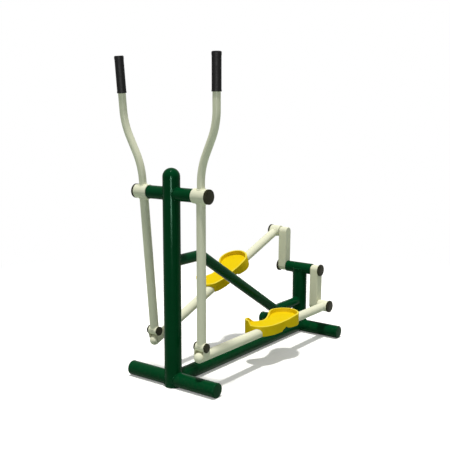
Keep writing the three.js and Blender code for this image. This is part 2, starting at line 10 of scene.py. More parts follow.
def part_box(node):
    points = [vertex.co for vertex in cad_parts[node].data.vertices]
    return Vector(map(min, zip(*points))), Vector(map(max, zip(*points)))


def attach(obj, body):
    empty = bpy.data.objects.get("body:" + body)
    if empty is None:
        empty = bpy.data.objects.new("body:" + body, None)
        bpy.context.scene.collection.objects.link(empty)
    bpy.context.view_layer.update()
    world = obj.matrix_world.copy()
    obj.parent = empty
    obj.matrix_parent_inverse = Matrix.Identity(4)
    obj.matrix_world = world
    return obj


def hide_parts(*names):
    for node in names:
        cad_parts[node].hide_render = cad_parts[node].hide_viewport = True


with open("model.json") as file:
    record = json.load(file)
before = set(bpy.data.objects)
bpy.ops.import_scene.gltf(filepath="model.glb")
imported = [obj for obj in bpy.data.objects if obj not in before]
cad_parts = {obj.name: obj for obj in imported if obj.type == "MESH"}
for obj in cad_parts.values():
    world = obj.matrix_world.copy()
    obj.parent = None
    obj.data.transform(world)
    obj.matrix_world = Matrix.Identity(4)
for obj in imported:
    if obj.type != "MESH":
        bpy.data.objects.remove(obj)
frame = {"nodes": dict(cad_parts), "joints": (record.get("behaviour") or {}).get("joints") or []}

# An outdoor walker: a green steel frame, two cream hand levers, a crank at the rear and two cream
# pedal bars with yellow foot trays. Shapes are worked out in millimetres, each in the frame of the
# body that it rides on, and the meshes are made in metres in the row frame.

MM = 0.001
TURN = 2 * math.pi
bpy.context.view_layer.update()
hinge = {joint["name"]: 1000 * np.array(joint["pos_m"], float) for joint in frame["joints"]}

# Sizes of the walker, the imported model's own. Only the pedal's rim is drawn larger: in the solids
# it is 17 mm high and 8 mm wide.
POST_R, POST_WALL, DOME_BASE, DOME_GAP, FOOT_PLATE = 44.5, 4.0, 1075.5, 0.05, 6.0
GROUND_R, GROUND_WALL, GROUND_HALF = 38.0, 3.5, 281.0
CAP_LID, CAP_DOME, CAP_SHOULDER, CAP_ROUND = 4.0, 5.0, 1.5, 5.0
BRACE_R, BRACE_WALL, BRACE_BEND = 28.5, 3.0, 110.0
BRACE_HIGH, BRACE_LOW, BRACE_TOP_RUN, BRACE_REAR_RUN = 648.0, 198.0, 226.0, 283.0
CROSS_R, CROSS_WALL, CROSS_HALF = 34.0, 5.0, 145.6
HEAD_R, HEAD_WALL, HEAD_HALF = 34.0, 7.0, 90.0
ARM_IN, ARM_OUT, ARM_HALF, ARM_ROUND, ARM_DRAW, CRANK_R = 91.0, 145.0, 29.0, 3.5, 0.6, 219.0
LEVER_PLANE, LEVER_REACH, LEVER_TOP = 187.0, 750.0, 677.0
HUB_R, HUB_WALL, HUB_HALF = 37.0, 9.0, 41.0
LEVER_TUBE_R, HAND_TUBE_R, HAND_WALL, TUBE_WALL = 23.0, 19.5, 2.5, 3.0
HAND_LOW, HAND_RISE, HAND_BEND, GRIP_SHIFT = 133.0, 208.0, 330.0, 95.0
GRIP_LENGTH, GRIP_R, GRIP_ROUND, GRIP_ROOF = 183.0, 24.0, 6.0, 5.0
GRIP_COLLAR, GRIP_KNOB, GRIP_SINK, GRIP_GAP = 7.0, 17.0, 0.9, 0.1
SLEEVE_R, SLEEVE_WALL, SLEEVE_HALF, SLEEVE_COPE = 23.0, 14.7, 26.4, 11.5
BAR_R, BAR_REACH, PIVOT_RISE, BAR_NOSE = 26.0, 1225.0, 50.0, 20.0
EAR_IN, EAR_THICK, EAR_R, EAR_FLARE, EAR_EDGE = 26.8, 4.0, 20.5, 3.0, 1.2
YOKE_REACH, YOKE_DEPTH, YOKE_SHOULDER, YOKE_SINK, YOKE_BEVEL = 30.0, 56.0, 14.0, 0.6, 1.0
YOKE_DRAW = (0.75, 1.0, 0.97)
PIVOT_CAP_R, PIVOT_CAP_BORE, PIVOT_CAP_LID, PIVOT_CAP_CROWN = 23.5, 21.1, 4.0, 1.6
PIVOT_CAP_FLAT, PIVOT_CAP_STEP = 0.66, (0.3, 3.0)
PIN_SLEEVE_R, PIN_SLEEVE_WALL, PIN_SLEEVE_IN, PIN_SLEEVE_OUT = 34.0, 8.0, 40.0, 27.0
PIN_NECK_R, PIN_R, PIN_SHORT, THRUST_GAP = 20.0, 12.5, 6.3, 0.4
PEDAL_LENGTH, PEDAL_HALF, TREAD_RISE = 366.0, 95.0, 40.0
PEDAL_HEEL = 0.69 * BAR_REACH
TREAD, SKIRT_WALL, RIM, RIM_WALL, RIM_EDGE, LIP = 6.0, 5.0, 25.0, 11.0, 2.5, 25.0
BRACKET_HALF, BRACKET_LOW, SEAT = 32.0, 22.0, 0.3
RIB_HALF, RIB_DEPTH, RIB_INSET = 2.0, 22.0, 3.0
BOLT_ACROSS, BOLT_HEIGHT, BOLT_BEVEL, BOLT_SPREAD = 8.0, 3.5, 0.7, 27.0
WASHER_R, WASHER_THICK = 4.96, 1.2

# The pushed-in caps: radius, lid, crown, and the radius and depth of the plug. A groove runs round
# each lid at a share of its radius.
CAP_GROOVE = 0.72
HUB_CAP = (37.0, 11.0, 4.0, HUB_R - HUB_WALL - SEAT, 5.0)
CRANK_CAP = (36.5, 8.0, 4.0, 15.0, 8.0)
PIN_CAP = (36.5, 9.0, 5.0, PIN_SLEEVE_R - PIN_SLEEVE_WALL - SEAT, 6.0)

# Where things stand under the pedal, as shares of its length forward from the heel
BRACKET_SHARES = (0.16, 0.84)
RIB_SHARES = (0.22, 0.50, 0.76)
BOLT_SHARES = (0.29, 0.55, 0.81)

# How finely the surfaces are divided
COLUMNS, SMALL_COLUMNS, WASHER_COLUMNS = 96, 72, 48
ARC_STEPS, BEND_STEPS, BEND_MARGIN = 5, 24, 20
DOME_STEPS, LID_STEPS, ARM_STEPS, ARM_EDGE_STEPS, BALL_STEPS = 25, 8, 41, 7, 20
EAR_STEPS, CORNER_STEPS, WEB_STEPS, PLATE_EDGE_STEPS = 33, 9, 41, 5
OUTLINE_STEPS, RIM_EDGE_STEPS, SKIRT_EDGE_STEPS, SADDLE_STEPS = 480, 6, 9, 61
SMOOTH_ANGLE = math.radians(32)

crank_centre = hinge["crank_turn"]
wheelbase, crank_height = crank_centre[1], crank_centre[2]
cross_height = hinge["left_lever_swing"][2]
ground_axis = GROUND_R

# The place of a body that doesn't turn, the two sides with their sign along X, and for each axis
# the two directions across it and then its own
FIXED = (0.0, np.zeros(3))
SIDES = (("left", 1.0), ("right", -1.0))
AXES = {
    "x": np.array([[0.0, 1, 0], [0, 0, 1], [1, 0, 0]]),
    "y": np.array([[0.0, 0, 1], [1, 0, 0], [0, 1, 0]]),
    "z": np.array([[1.0, 0, 0], [0, 1, 0], [0, 0, 1]]),
}


# Lines and grids

def unit(vectors):
    """Vectors divided by their own length."""
    length = np.linalg.norm(vectors, axis=-1, keepdims=True)
    return vectors / np.maximum(length, 1e-12)


def rounded(corners, radius, closed=False, steps=ARC_STEPS, margin=0.5):
    """A line with its corners rounded.

    With a the turn at a corner, the arc of radius r starts r * tan(a / 2) before it, and its point
    at share s is start + r * sin(a s) * along + r * (1 - cos(a s)) * across, where across is the
    onward direction less its part along the line. One more point a margin before and after each
    arc keeps the runs between the arcs flat when they are shaded.
    """
    p = np.asarray(corners, float)
    radius = np.broadcast_to(np.asarray(radius, float), (len(p),))
    onward_run = np.roll(p, -1, axis=0) - p
    along, onward = unit(np.roll(onward_run, 1, axis=0)), unit(onward_run)
    cosine = np.clip((along * onward).sum(axis=1), -1, 1)
    turn = np.arccos(cosine)
    if not closed:
        turn[[0, -1]] = 0
    across = unit(onward - along * cosine[:, None])
    reach = radius * np.tan(turn / 2)
    free = np.linalg.norm(onward_run, axis=1) - reach - np.roll(reach, -1)
    gap = np.clip(0.3 * free, 0, margin)
    share = np.linspace(0, 1, steps + 1)
    swing = turn[:, None] * share
    start = p - along * reach[:, None]
    arc = (start[:, None] + (radius[:, None] * np.sin(swing))[..., None] * along[:, None]
           + (radius[:, None] * (1 - np.cos(swing)))[..., None] * across[:, None])
    before = start - along * np.roll(gap, 1)[:, None]
    after = p + onward * (reach + gap)[:, None]
    line = np.concatenate([before[:, None], arc, after[:, None]], axis=1)
    if closed:
        return line.reshape(-1, p.shape[1])
    inner = line[1:-1].reshape(-1, p.shape[1])
    return np.concatenate([p[:1], inner, p[-1:]])


def apart(line):
    """The line without the points that repeat the one before."""
    step = np.linalg.norm(np.diff(line, axis=0), axis=1)
    return line[np.concatenate([[True], step > 1e-6])]


def lengths(line):
    """The running length at each point of a line."""
    return np.concatenate([[0], np.cumsum(np.linalg.norm(np.diff(line, axis=0), axis=1))])


def picked(line, length, place):
    """The points of a line, or the values along it, at some places of its running length."""
    return np.stack([np.interp(place, length, line[:, k]) for k in range(line.shape[1])], axis=1)


def skin(points, ring=False, lids=False):
    """A closed surface as a grid of points [row, column]. Each row runs round and joins up. The
    rows join up too for a ring; otherwise the first and last are poles, or the rims of flat lids."""
    return {"points": np.asarray(points, float), "ring": ring, "lids": lids}


def moved(one, by):
    """A skin carried along by an offset."""
    return {**one, "points": one["points"] + by}


def circle(columns):
    """Angles evenly round a circle."""
    return np.arange(columns) * TURN / columns


def on_circle(angle):
    """Points (cos t, sin t) at these angles."""
    return np.stack([np.cos(angle), np.sin(angle)], axis=1)


def round_wall(radius, axis, columns=COLUMNS):
    """A circle square to an axis, a * first + b * second, and its offsets a = r cos t and
    b = r sin t along the two directions across."""
    first, second, _ = AXES[axis]
    angle = circle(columns)
    a, b = radius * np.cos(angle), radius * np.sin(angle)
    return a[:, None] * first + b[:, None] * second, a, b


def turned(profile, axis, centre=(0, 0, 0), ring=False, columns=COLUMNS):
    """Surface of revolution: a profile point (r, h) at angle t stands at
    centre + h * axis + r * (cos t * first + sin t * second)."""
    radius, height = np.asarray(profile, float).T
    out = round_wall(1.0, axis, columns)[0]
    points = height[:, None, None] * AXES[axis][2] + radius[:, None, None] * out
    return skin(points + np.asarray(centre, float), ring)


def ring_profile(outer, inner, low, high, edge=1.0):
    """Section of a ring: the rectangle from the inner to the outer radius, its outer edges rounded
    by the radius edge and its inner ones by a third of it."""
    corners = [[inner, low], [outer, low], [outer, high], [inner, high]]
    return rounded(corners, [edge / 3, edge, edge, edge / 3], closed=True)


def cross_ring(outer, wall, half, edge, centre=(0, 0, 0)):
    """A straight tube along X with square ends, this far to each side of its middle."""
    return turned(ring_profile(outer, outer - wall, -half, half, edge), "x", centre, ring=True)


def level(height):
    """An end cut square: the same height all round."""
    return lambda a, b: np.full_like(a, height)


def over(radius, of, height=0.0, sign=1.0, least=0.0):
    """An end cut to sit on a round tube of this radius: height + sign * sqrt(radius^2 - d^2),
    where d is the first or second offset (of) from the branch's own axis."""
    def cut(a, b):
        offset = (a, b)[of]
        return height + sign * np.sqrt(np.maximum(radius ** 2 - offset ** 2, least ** 2))
    return cut


def run(radius, wall, axis, low, high, centre=(0, 0, 0), columns=COLUMNS):
    """A straight tube whose ends are cut to a shape. On the wall of radius r the point at angle t
    has offsets a = r cos t and b = r sin t, and stands at low(a, b) or high(a, b) along the axis.
    The rows go along the outside and come back on the inside."""
    rows = []
    for r, ends in ((radius, (low, high)), (radius - wall, (high, low))):
        out, a, b = round_wall(r, axis, columns)
        rows += [out + end(a, b)[:, None] * AXES[axis][2] for end in ends]
    return skin(np.stack(rows) + np.asarray(centre, float), ring=True)


def swept(path, side, radius, wall, start=None, end=None, columns=SMALL_COLUMNS):
    """A bent tube: a circle of radius r carried along a path that bends in one plane. With T the
    path's direction and S the side square to its plane, the point at angle t is
    path + r cos t * (S x T) + r sin t * S. The first and last circles are shifted along T by the
    start and end cuts, and the rows come back on the inner wall."""
    path, side = apart(np.asarray(path, float)), np.asarray(side, float)
    way = unit(np.gradient(path, axis=0))
    way[0], way[-1] = unit(path[1] - path[0]), unit(path[-1] - path[-2])
    first = np.cross(side, way)
    angle = circle(columns)
    walls = []
    for r in (radius, radius - wall):
        a, b = r * np.cos(angle), r * np.sin(angle)
        points = path[:, None] + a[None, :, None] * first[:, None] + b[None, :, None] * side
        if start:
            points[0] += start(a, b)[:, None] * way[0]
        if end:
            points[-1] += end(a, b)[:, None] * way[-1]
        walls.append(points)
    return skin(np.concatenate([walls[0], walls[1][::-1]]), ring=True)


def closed_spline(corners, count, fine=40):
    """A closed centripetal spline through the corners, at even steps of its length. Knots stand
    the square root of the chord apart, each span is the cubic with its ends and its end slopes,
    and the points are picked where the running length reaches even shares."""
    p1 = np.asarray(corners, float)
    p0, p2, p3 = np.roll(p1, 1, 0), np.roll(p1, -1, 0), np.roll(p1, -2, 0)
    k0, k1, k2 = (np.sqrt(np.linalg.norm(q - p, axis=1))[:, None]
                  for p, q in ((p0, p1), (p1, p2), (p2, p3)))
    m1 = k1 * ((p1 - p0) / k0 - (p2 - p0) / (k0 + k1) + (p2 - p1) / k1)
    m2 = k1 * ((p2 - p1) / k1 - (p3 - p1) / (k1 + k2) + (p3 - p2) / k2)
    t = (np.arange(fine) / fine)[None, :, None]
    span = (p1[:, None] + m1[:, None] * t + (3 * (p2 - p1) - 2 * m1 - m2)[:, None] * t ** 2
            + (2 * (p1 - p2) + m1 + m2)[:, None] * t ** 3)
    line = span.reshape(-1, p1.shape[1])
    loop = np.concatenate([line, line[:1]])
    length = lengths(loop)
    return picked(loop, length, np.arange(count) / count * length[-1])


def smooth(value, low, high):
    """A soft step from 0 at low to 1 at high: 3 s^2 - 2 s^3 of the share s between them."""
    s = np.clip((value - low) / (high - low), 0, 1)
    return s * s * (3 - 2 * s)


# Meshes

def put(name, data):
    """A new object in the scene."""
    item = bpy.data.objects.new(name, data)
    bpy.context.scene.collection.objects.link(item)
    return item


def woven(rows, columns, ring):
    """Quads of a grid and the row and column steps of their corners: (i, j), (i, j + 1),
    (i + 1, j + 1), (i + 1, j), with each index taken round where the grid joins up."""
    i, j = np.meshgrid(np.arange(rows if ring else rows - 1), np.arange(columns), indexing="ij")
    i, j = i.reshape(-1, 1), j.reshape(-1, 1)
    row, column = i + np.array([0, 0, 1, 1]), j + np.array([0, 1, 1, 0])
    return (row % rows) * columns + column % columns, row, column


def placed(points, place):
    """Points of a body's own frame in the row frame: turned about X by the body's angle, then
    moved to its origin."""
    angle, origin = place
    c, s = math.cos(angle), math.sin(angle)
    turn = np.array([[1, 0, 0], [0, c, -s], [0, s, c]])
    return points @ turn.T + origin


def volume(points, quads, lids):
    """Signed volume inside faces: a sixth of the sum of the triple products of their triangles."""
    fans = [np.stack([np.full(len(lid) - 2, lid[0]), lid[1:-1], lid[2:]], 1) for lid in lids]
    triangles = np.concatenate([quads[:, :3], quads[:, [0, 2, 3]], *fans])
    a, b, c = (points[triangles[:, k]] - points.mean(axis=0) for k in range(3))
    return (a * np.cross(b, c)).sum() / 6


def faces_of(one, place, offset):
    """Points, faces and pattern coordinates of one skin. The faces are turned round together
    where the signed volume comes out negative. The pattern runs in metres along the rows and
    round the columns."""
    grid = placed(one["points"], place) * MM
    rows, columns = grid.shape[:2]
    points = grid.reshape(-1, 3)
    quads, row, column = woven(rows, columns, one["ring"])
    loop = np.concatenate([grid, grid[:1]])
    along = np.concatenate([[0], np.cumsum(np.linalg.norm(np.diff(loop, axis=0), axis=2).mean(axis=1))])
    span = np.linalg.norm(np.roll(grid, -1, axis=1) - grid, axis=2).sum(axis=1).mean() / columns
    pattern = np.stack([along[row], column * span], axis=-1)
    last = (rows - 1) * columns
    lids = [np.arange(columns)[::-1], last + np.arange(columns)] if one["lids"] else []
    if volume(points, quads, lids) < 0:
        quads, pattern, lids = quads[:, ::-1], pattern[:, ::-1], [lid[::-1] for lid in lids]
    faces = (quads + offset).tolist() + [(lid + offset).tolist() for lid in lids]
    return points, faces, np.concatenate([pattern.reshape(-1, 2), *[points[lid, :2] for lid in lids]])


def make(name, body, look, skins, replaces=(), place=FIXED):
    """One piece from its skins, with a look, which is a finish and its slot; the slot is not used.
    The grids become faces, points that coincide at poles and seams are joined, and edges sharper
    than the smoothing angle stay sharp."""
    finish, slot = look
    points, faces, patterns, offset = [], [], [], 0
    for one in skins:
        some, few, pattern = faces_of(one, place, offset)
        points.append(some)
        faces += few
        patterns.append(pattern)
        offset += len(some)
    mesh = bpy.data.meshes.new(name)
    mesh.from_pydata(np.concatenate(points).tolist(), [], faces)
    layer = mesh.uv_layers.new(name="Pattern")
    layer.data.foreach_set("uv", np.concatenate(patterns).ravel())
    edit = bmesh.new()
    edit.from_mesh(mesh)
    bmesh.ops.remove_doubles(edit, verts=edit.verts, dist=1e-6)
    bmesh.ops.dissolve_degenerate(edit, edges=edit.edges, dist=1e-7)
    edit.to_mesh(mesh)
    edit.free()
    mesh.shade_smooth()
    mesh.set_sharp_from_angle(angle=SMOOTH_ANGLE)
    mesh.materials.append(finish)
    piece = put(name, mesh)
    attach(piece, body)
    if replaces:
        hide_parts(*replaces)


def maker(side, body, place):
    """A function that makes the pieces of a body that turns, all named for its side."""
    def piece(name, look, skins, *replaces):
        make(f"{side}_{name}", body, look, skins, [f"{side}_{node}" for node in replaces], place)
    return piece


# Weld beads

RIPPLE_PITCH = 5.0
RIPPLE_DEPTH = 0.09
RIPPLE_STEPS = 6
BEAD_COLUMNS = 12
BEAD_STATIONS, EAR_BEAD_STATIONS, BAR_BEAD_STATIONS = 240, 40, 60

# Radii of the beads; how far a bead in a butt joint lies under the tubes' surface; how far the ones
# under the yoke are tucked in and lie below it, and how much they lean outward; and the angles
# between which the one behind the yoke runs over the bar
POST_BEAD, GROUND_BEAD, TUBE_BEAD, LEVER_BEAD = 4.5, 4.2, 4.0, 3.4
YOKE_BEAD, BUTT_BEAD, SLEEVE_BEAD = 2.6, 2.0, 1.6
FOOT_SEAM, CAP_SEAM = 1.2, 1.4
YOKE_BEAD_TUCK, YOKE_BEAD_DROP, YOKE_BEAD_LEAN = 0.3, 0.5, 0.4
YOKE_BEAD_ARC = (0.14 * math.pi, 0.86 * math.pi)


def bead(path, outward, size, closed=True):
    """A weld bead: a round section of radius w carried along a path, with w swelling as
    size * (1 + depth * cos(k s - sin v)), s being the length along and v the angle round, so that
    it looks laid in overlapping scales. An open bead's radius falls to nothing at both ends."""
    path, outward = np.asarray(path, float), np.asarray(outward, float)
    loop = np.concatenate([path, path[:1]]) if closed else path
    around = np.concatenate([outward, outward[:1]]) if closed else outward
    length = lengths(loop)
    count = max(round(length[-1] / RIPPLE_PITCH), 2)
    stations = count * RIPPLE_STEPS
    share = np.arange(stations) / stations if closed else np.linspace(0, 1, stations)
    centre, out = (picked(line, length, share * length[-1]) for line in (loop, around))
    ahead = np.roll(centre, -1, 0) - np.roll(centre, 1, 0) if closed else np.gradient(centre, axis=0)
    way, out = unit(ahead), unit(out)
    out = unit(out - (out * way).sum(axis=1, keepdims=True) * way)
    beside = np.cross(way, out)
    v = circle(BEAD_COLUMNS)
    w = size * (1 + RIPPLE_DEPTH * np.cos(TURN * count * share[:, None] - np.sin(v)))
    if not closed:
        w = w * np.sqrt(1 - np.abs(2 * share - 1) ** 10)[:, None]
    round_it = np.cos(v)[:, None] * out[:, None] + np.sin(v)[:, None] * beside[:, None]
    return skin(centre[:, None] + w[..., None] * round_it, ring=closed)


def saddle_bead(radius, parent, axis, of, size, centre=(0, 0, 0), sign=1.0, least=0.0):
    """The bead where a tube of this radius ends on a round parent. Its path is the edge of the cut
    from over(), and it faces halfway between the two tubes' own outward directions."""
    branch, *offsets = round_wall(radius, axis, BEAD_STATIONS)
    rise = over(parent, of, sign=sign, least=least)(*offsets)[:, None] * AXES[axis][2]
    stem = offsets[of][:, None] * AXES[axis][of] + rise
    return bead(branch + rise + np.asarray(centre, float), unit(branch) + unit(stem), size)


def cut_bead(radius, axis, cut, size, centre=(0, 0, 0), lean=1.0):
    """The bead round the end of a tube that is cut by any function of its two offsets; it faces
    outward and lean times along the axis."""
    way = AXES[axis][2]
    branch, a, b = round_wall(radius, axis, BEAD_STATIONS)
    path = branch + cut(a, b)[:, None] * way + np.asarray(centre, float)
    return bead(path, unit(branch) + lean * way, size)


def above_floor(one, height=0.2):
    """The skin with its points kept at or above a small height over the ground."""
    points = one["points"].copy()
    points[..., 2] = np.maximum(points[..., 2], height)
    return {**one, "points": points}


# Finishes

def feed(tree, node, inputs):
    """Sets a node's own inputs; a value that is given as a socket is linked."""
    for key, value in inputs.items():
        if isinstance(value, bpy.types.NodeSocket):
            tree.links.new(value, node.inputs[key])
        else:
            node.inputs[key].default_value = value


def add(tree, kind, inputs=None, **settings):
    """A new node with its settings and input values."""
    made = tree.nodes.new(kind)
    for key, value in settings.items():
        setattr(made, key, value)
    feed(tree, made, inputs or {})
    return made


def new_material(name):
    """An empty node material, its tree, its shader and the place in metres."""
    material = bpy.data.materials.new(name)
    material.use_nodes = True
    tree = material.node_tree
    where = add(tree, "ShaderNodeTexCoord").outputs["Object"]
    return material, tree, tree.nodes["Principled BSDF"], where


def part_of(tree, vector, axis):
    """One component of a vector."""
    return add(tree, "ShaderNodeSeparateXYZ", {"Vector": vector}).outputs[axis]


def along_rows(tree):
    """How far a point lies along the rows of its skin, in metres."""
    return part_of(tree, add(tree, "ShaderNodeUVMap", uv_map="Pattern").outputs["UV"], "X")


def noise(tree, where, scale, detail=2.0, rough=0.5):
    """Cloudy noise, 0 to 1, at a scale in cycles per metre."""
    inputs = {"Vector": where, "Scale": scale, "Detail": detail, "Roughness": rough}
    return add(tree, "ShaderNodeTexNoise", inputs).outputs["Fac"]


def ranged(tree, value, low, high, to_low, to_high):
    """The value carried from one range to another, clamped."""
    inputs = {"Value": value, "From Min": low, "From Max": high, "To Min": to_low, "To Max": to_high}
    return add(tree, "ShaderNodeMapRange", inputs).outputs["Result"]


def blend(tree, share, one, other):
    """A mix of two colours, each a colour or a socket. The mixing node's colours are its inputs 6
    and 7, and its output 2."""
    one, other = (c if isinstance(c, bpy.types.NodeSocket) else (*c, 1) for c in (one, other))
    return add(tree, "ShaderNodeMix", {0: share, 6: one, 7: other}, data_type="RGBA").outputs[2]


def times(tree, one, other):
    """The product of two values."""
    return add(tree, "ShaderNodeMath", {0: one, 1: other}, operation="MULTIPLY").outputs[0]


def bumped(tree, height, distance, strength=1.0, normal=None):
    """A bump whose full height is the distance, in metres."""
    inputs = {"Height": height, "Distance": distance, "Strength": strength}
    if normal:
        inputs["Normal"] = normal
    return add(tree, "ShaderNodeBump", inputs).outputs["Normal"]


# How high the dust lies, in metres, its greatest share and its colour
DUST_TOP, DUST_SHARE, DUST = 0.09, 0.06, (0.24, 0.25, 0.20)


def powder_coat(name, colour, worn, chip, gloss, specular, coat, tint=(1.0, 1.0, 1.0)):
    """Sprayed and baked paint: an even colour with faint clouding, an orange-peel skin a few
    millimetres across, gloss that varies from handling, dust low down and a few tiny chips."""
    material, tree, shader, where = new_material(name)
    height = part_of(tree, where, "Z")
    cloud = ranged(tree, noise(tree, where, 9.0, 4.0), 0.35, 0.65, 0.0, 1.0)
    base = blend(tree, cloud, colour, worn)
    low = ranged(tree, height, 0.0, DUST_TOP, 1.0, 0.0)
    patches = ranged(tree, noise(tree, where, 60.0, 5.0, 0.6), 0.42, 0.7, 0.0, DUST_SHARE)
    base = blend(tree, times(tree, low, patches), base, DUST)
    spots = ranged(tree, noise(tree, where, 75.0, 6.0, 0.72), 0.755, 0.775, 0.0, 1.0)
    base = blend(tree, spots, base, chip)
    peel = noise(tree, where, 420.0, 1.0)
    fine = noise(tree, where, 1900.0, 1.0)
    normal = bumped(tree, peel, 0.00005, 0.05)
    normal = bumped(tree, fine, 0.00002, 0.2, normal)
    normal = bumped(tree, ranged(tree, spots, 0.0, 1.0, 1.0, 0.0), 0.00015, 0.8, normal)
    handled = ranged(tree, noise(tree, where, 26.0, 5.0, 0.6), 0.3, 0.7, gloss[0], gloss[1])
    feed(tree, shader, {
        "Base Color": base, "Roughness": handled, "Normal": normal,
        "Specular IOR Level": specular, "Specular Tint": (*tint, 1.0),
        "Coat Weight": coat, "Coat Roughness": 0.1,
    })
    return material


# Where the top of the pedal's rim lies along its section, in metres of the pattern from the tread's
# edge outward, and how softly the painted highlight on it ends there
RIM_HIGHLIGHT_BAND, RIM_HIGHLIGHT_FADE = (0.0160, 0.0265), 0.002


def moulding(name, colour, deep, scuff, gloss, specular, rubbed_and_rim_highlight=None):
    """Moulded plastic: a fine spark-eroded grain, cloudy gloss, and on the faces that look up,
    scuffs that run the way a shoe slides. A painted highlight, a paler colour in patches, lies on
    the top of a rim, which is found by its place along the section's pattern."""
    material, tree, shader, where = new_material(name)
    up = part_of(tree, add(tree, "ShaderNodeNewGeometry").outputs["Normal"], "Z")
    level_face = ranged(tree, up, 0.75, 0.95, 0.0, 1.0)
    cloud = ranged(tree, noise(tree, where, 14.0, 4.0), 0.3, 0.7, 0.0, 1.0)
    base = blend(tree, cloud, colour, deep)
    drawn = add(tree, "ShaderNodeMapping", {"Vector": where, "Scale": (34.0, 7.0, 34.0)})
    drawn = drawn.outputs["Vector"]
    streak = ranged(tree, noise(tree, drawn, 9.0, 6.0, 0.7), 0.60, 0.72, 0.0, 1.0)
    worn = times(tree, times(tree, streak, level_face), 0.45)
    base = blend(tree, worn, base, scuff)
    # Painted highlight: a paler colour in patches along the top of the rim
    if rubbed_and_rim_highlight:
        along = along_rows(tree)
        after = ranged(tree, along, RIM_HIGHLIGHT_BAND[0], RIM_HIGHLIGHT_BAND[0] + RIM_HIGHLIGHT_FADE, 0.0, 1.0)
        before = ranged(tree, along, RIM_HIGHLIGHT_BAND[1] - RIM_HIGHLIGHT_FADE, RIM_HIGHLIGHT_BAND[1], 1.0, 0.0)
        patches = ranged(tree, noise(tree, where, 30.0, 4.0, 0.6), 0.3, 0.6, 0.35, 0.85)
        base = blend(tree, times(tree, times(tree, after, before), patches), base, rubbed_and_rim_highlight)
    grain = noise(tree, where, 1300.0, 2.0)
    normal = bumped(tree, grain, 0.00009, 0.6)
    normal = bumped(tree, noise(tree, where, 90.0, 2.0), 0.0003, 0.25, normal)
    shine = ranged(tree, noise(tree, where, 40.0, 4.0), 0.3, 0.7, gloss[0], gloss[1])
    feed(tree, shader, {
        "Base Color": base, "Roughness": shine, "Normal": normal, "Specular IOR Level": specular,
    })
    return material


# From one ring of the grip to the next, in metres
GRIP_RING_PITCH = 0.003


def rubber_grip(name, colour, dust):
    """Soft rubber: low rings at an even pitch along the grip with a stipple between them, a little
    paler where hands have rubbed it."""
    material, tree, shader, where = new_material(name)
    phase = times(tree, along_rows(tree), TURN / GRIP_RING_PITCH)
    rings = add(tree, "ShaderNodeMath", {0: phase}, operation="SINE").outputs[0]
    rubbed_and_rim_highlight = ranged(tree, noise(tree, where, 30.0, 5.0, 0.65), 0.4, 0.75, 0.0, 0.6)
    normal = bumped(tree, rings, 0.00012, 0.7)
    normal = bumped(tree, noise(tree, where, 1500.0, 2.0), 0.00012, 0.6, normal)
    feed(tree, shader, {
        "Base Color": blend(tree, rubbed_and_rim_highlight, colour, dust),
        "Roughness": ranged(tree, noise(tree, where, 120.0, 3.0), 0.3, 0.7, 0.48, 0.66),
        "Normal": normal, "Specular IOR Level": 0.09,
    })
    return material


def turned_steel(name, colour, gloss):
    """Bright steel with fine turning marks: noise squeezed to thin rings square to X."""
    material, tree, shader, where = new_material(name)
    thin = add(tree, "ShaderNodeMapping", {"Vector": where, "Scale": (60.0, 1.0, 1.0)}).outputs["Vector"]
    marks = noise(tree, thin, 45.0, 3.0)
    stain = ranged(tree, noise(tree, where, 35.0, 4.0), 0.35, 0.7, 0.0, 1.0)
    feed(tree, shader, {
        "Base Color": blend(tree, stain, colour, (0.42, 0.41, 0.39)), "Metallic": 1.0,
        "Roughness": ranged(tree, marks, 0.3, 0.7, gloss[0], gloss[1]),
        "Normal": bumped(tree, marks, 0.00004, 0.6),
    })
    return material


# The looks: each finish with the name of a slot, which the pieces don't use
GREEN = (powder_coat("green_powder_coat", (0.0004, 0.0475, 0.0125), (0.0006, 0.053, 0.0145),
                     (0.014, 0.044, 0.022), (0.13, 0.19), 0.028, 0.006, (0.45, 1.0, 0.7)),
         "green_paint")
CREAM = (powder_coat("cream_powder_coat", (0.815, 0.82, 0.625), (0.84, 0.845, 0.65),
                     (0.42, 0.40, 0.33), (0.34, 0.48), 0.04, 0.008),
         "cream_paint")
# The yellow moulding's last colour is the painted highlight along the top of the pedal's rim
YELLOW = (moulding("yellow_moulding", (0.80, 0.595, 0.003), (0.775, 0.56, 0.003),
                   (0.88, 0.64, 0.05), (0.55, 0.68), 0.035, (0.84, 0.74, 0.10)),
          "yellow_moulding")
BLACK = (moulding("black_cap_moulding", (0.020, 0.0205, 0.007), (0.027, 0.0275, 0.011),
                  (0.05, 0.048, 0.04), (0.32, 0.46), 0.08),
         "black_cap")
RUBBER = (rubber_grip("grip_rubber", (0.0065, 0.0065, 0.0065), (0.012, 0.012, 0.012)), "grip_rubber")
STEEL = (turned_steel("turned_steel", (0.60, 0.61, 0.62), (0.18, 0.36)), "bright_steel")
ZINC = (turned_steel("zinc_plated_steel", (0.66, 0.66, 0.60), (0.28, 0.48)), "bright_steel")


# Frame

def dome_profile(outer, wall, base):
    """Quarter circles of the outer and inner radius on a base height, from pole to pole."""
    quarter = on_circle(np.linspace(math.pi / 2, 0, DOME_STEPS))
    return np.concatenate([outer * quarter, (outer - wall) * quarter[::-1]]) + [0, base]


def end_cap_profile(sign):
    """A welded end cap: a lid of the tube's own size with a rounded rim and a low crown."""
    start = GROUND_HALF + SEAT
    corners = [[0, start], [GROUND_R, start], [GROUND_R, start + CAP_LID + CAP_SHOULDER],
               [0, start + CAP_LID + CAP_DOME]]
    line = rounded(corners, [0, 0.5, CAP_ROUND, 0], steps=LID_STEPS)
    return line * [1, sign]


def beam_front(a, b):
    """The base beam's front end: the higher of the cuts on the post and on the front tubes."""
    return np.maximum(over(POST_R, 1)(a, b), over(GROUND_R, 0)(a, b))


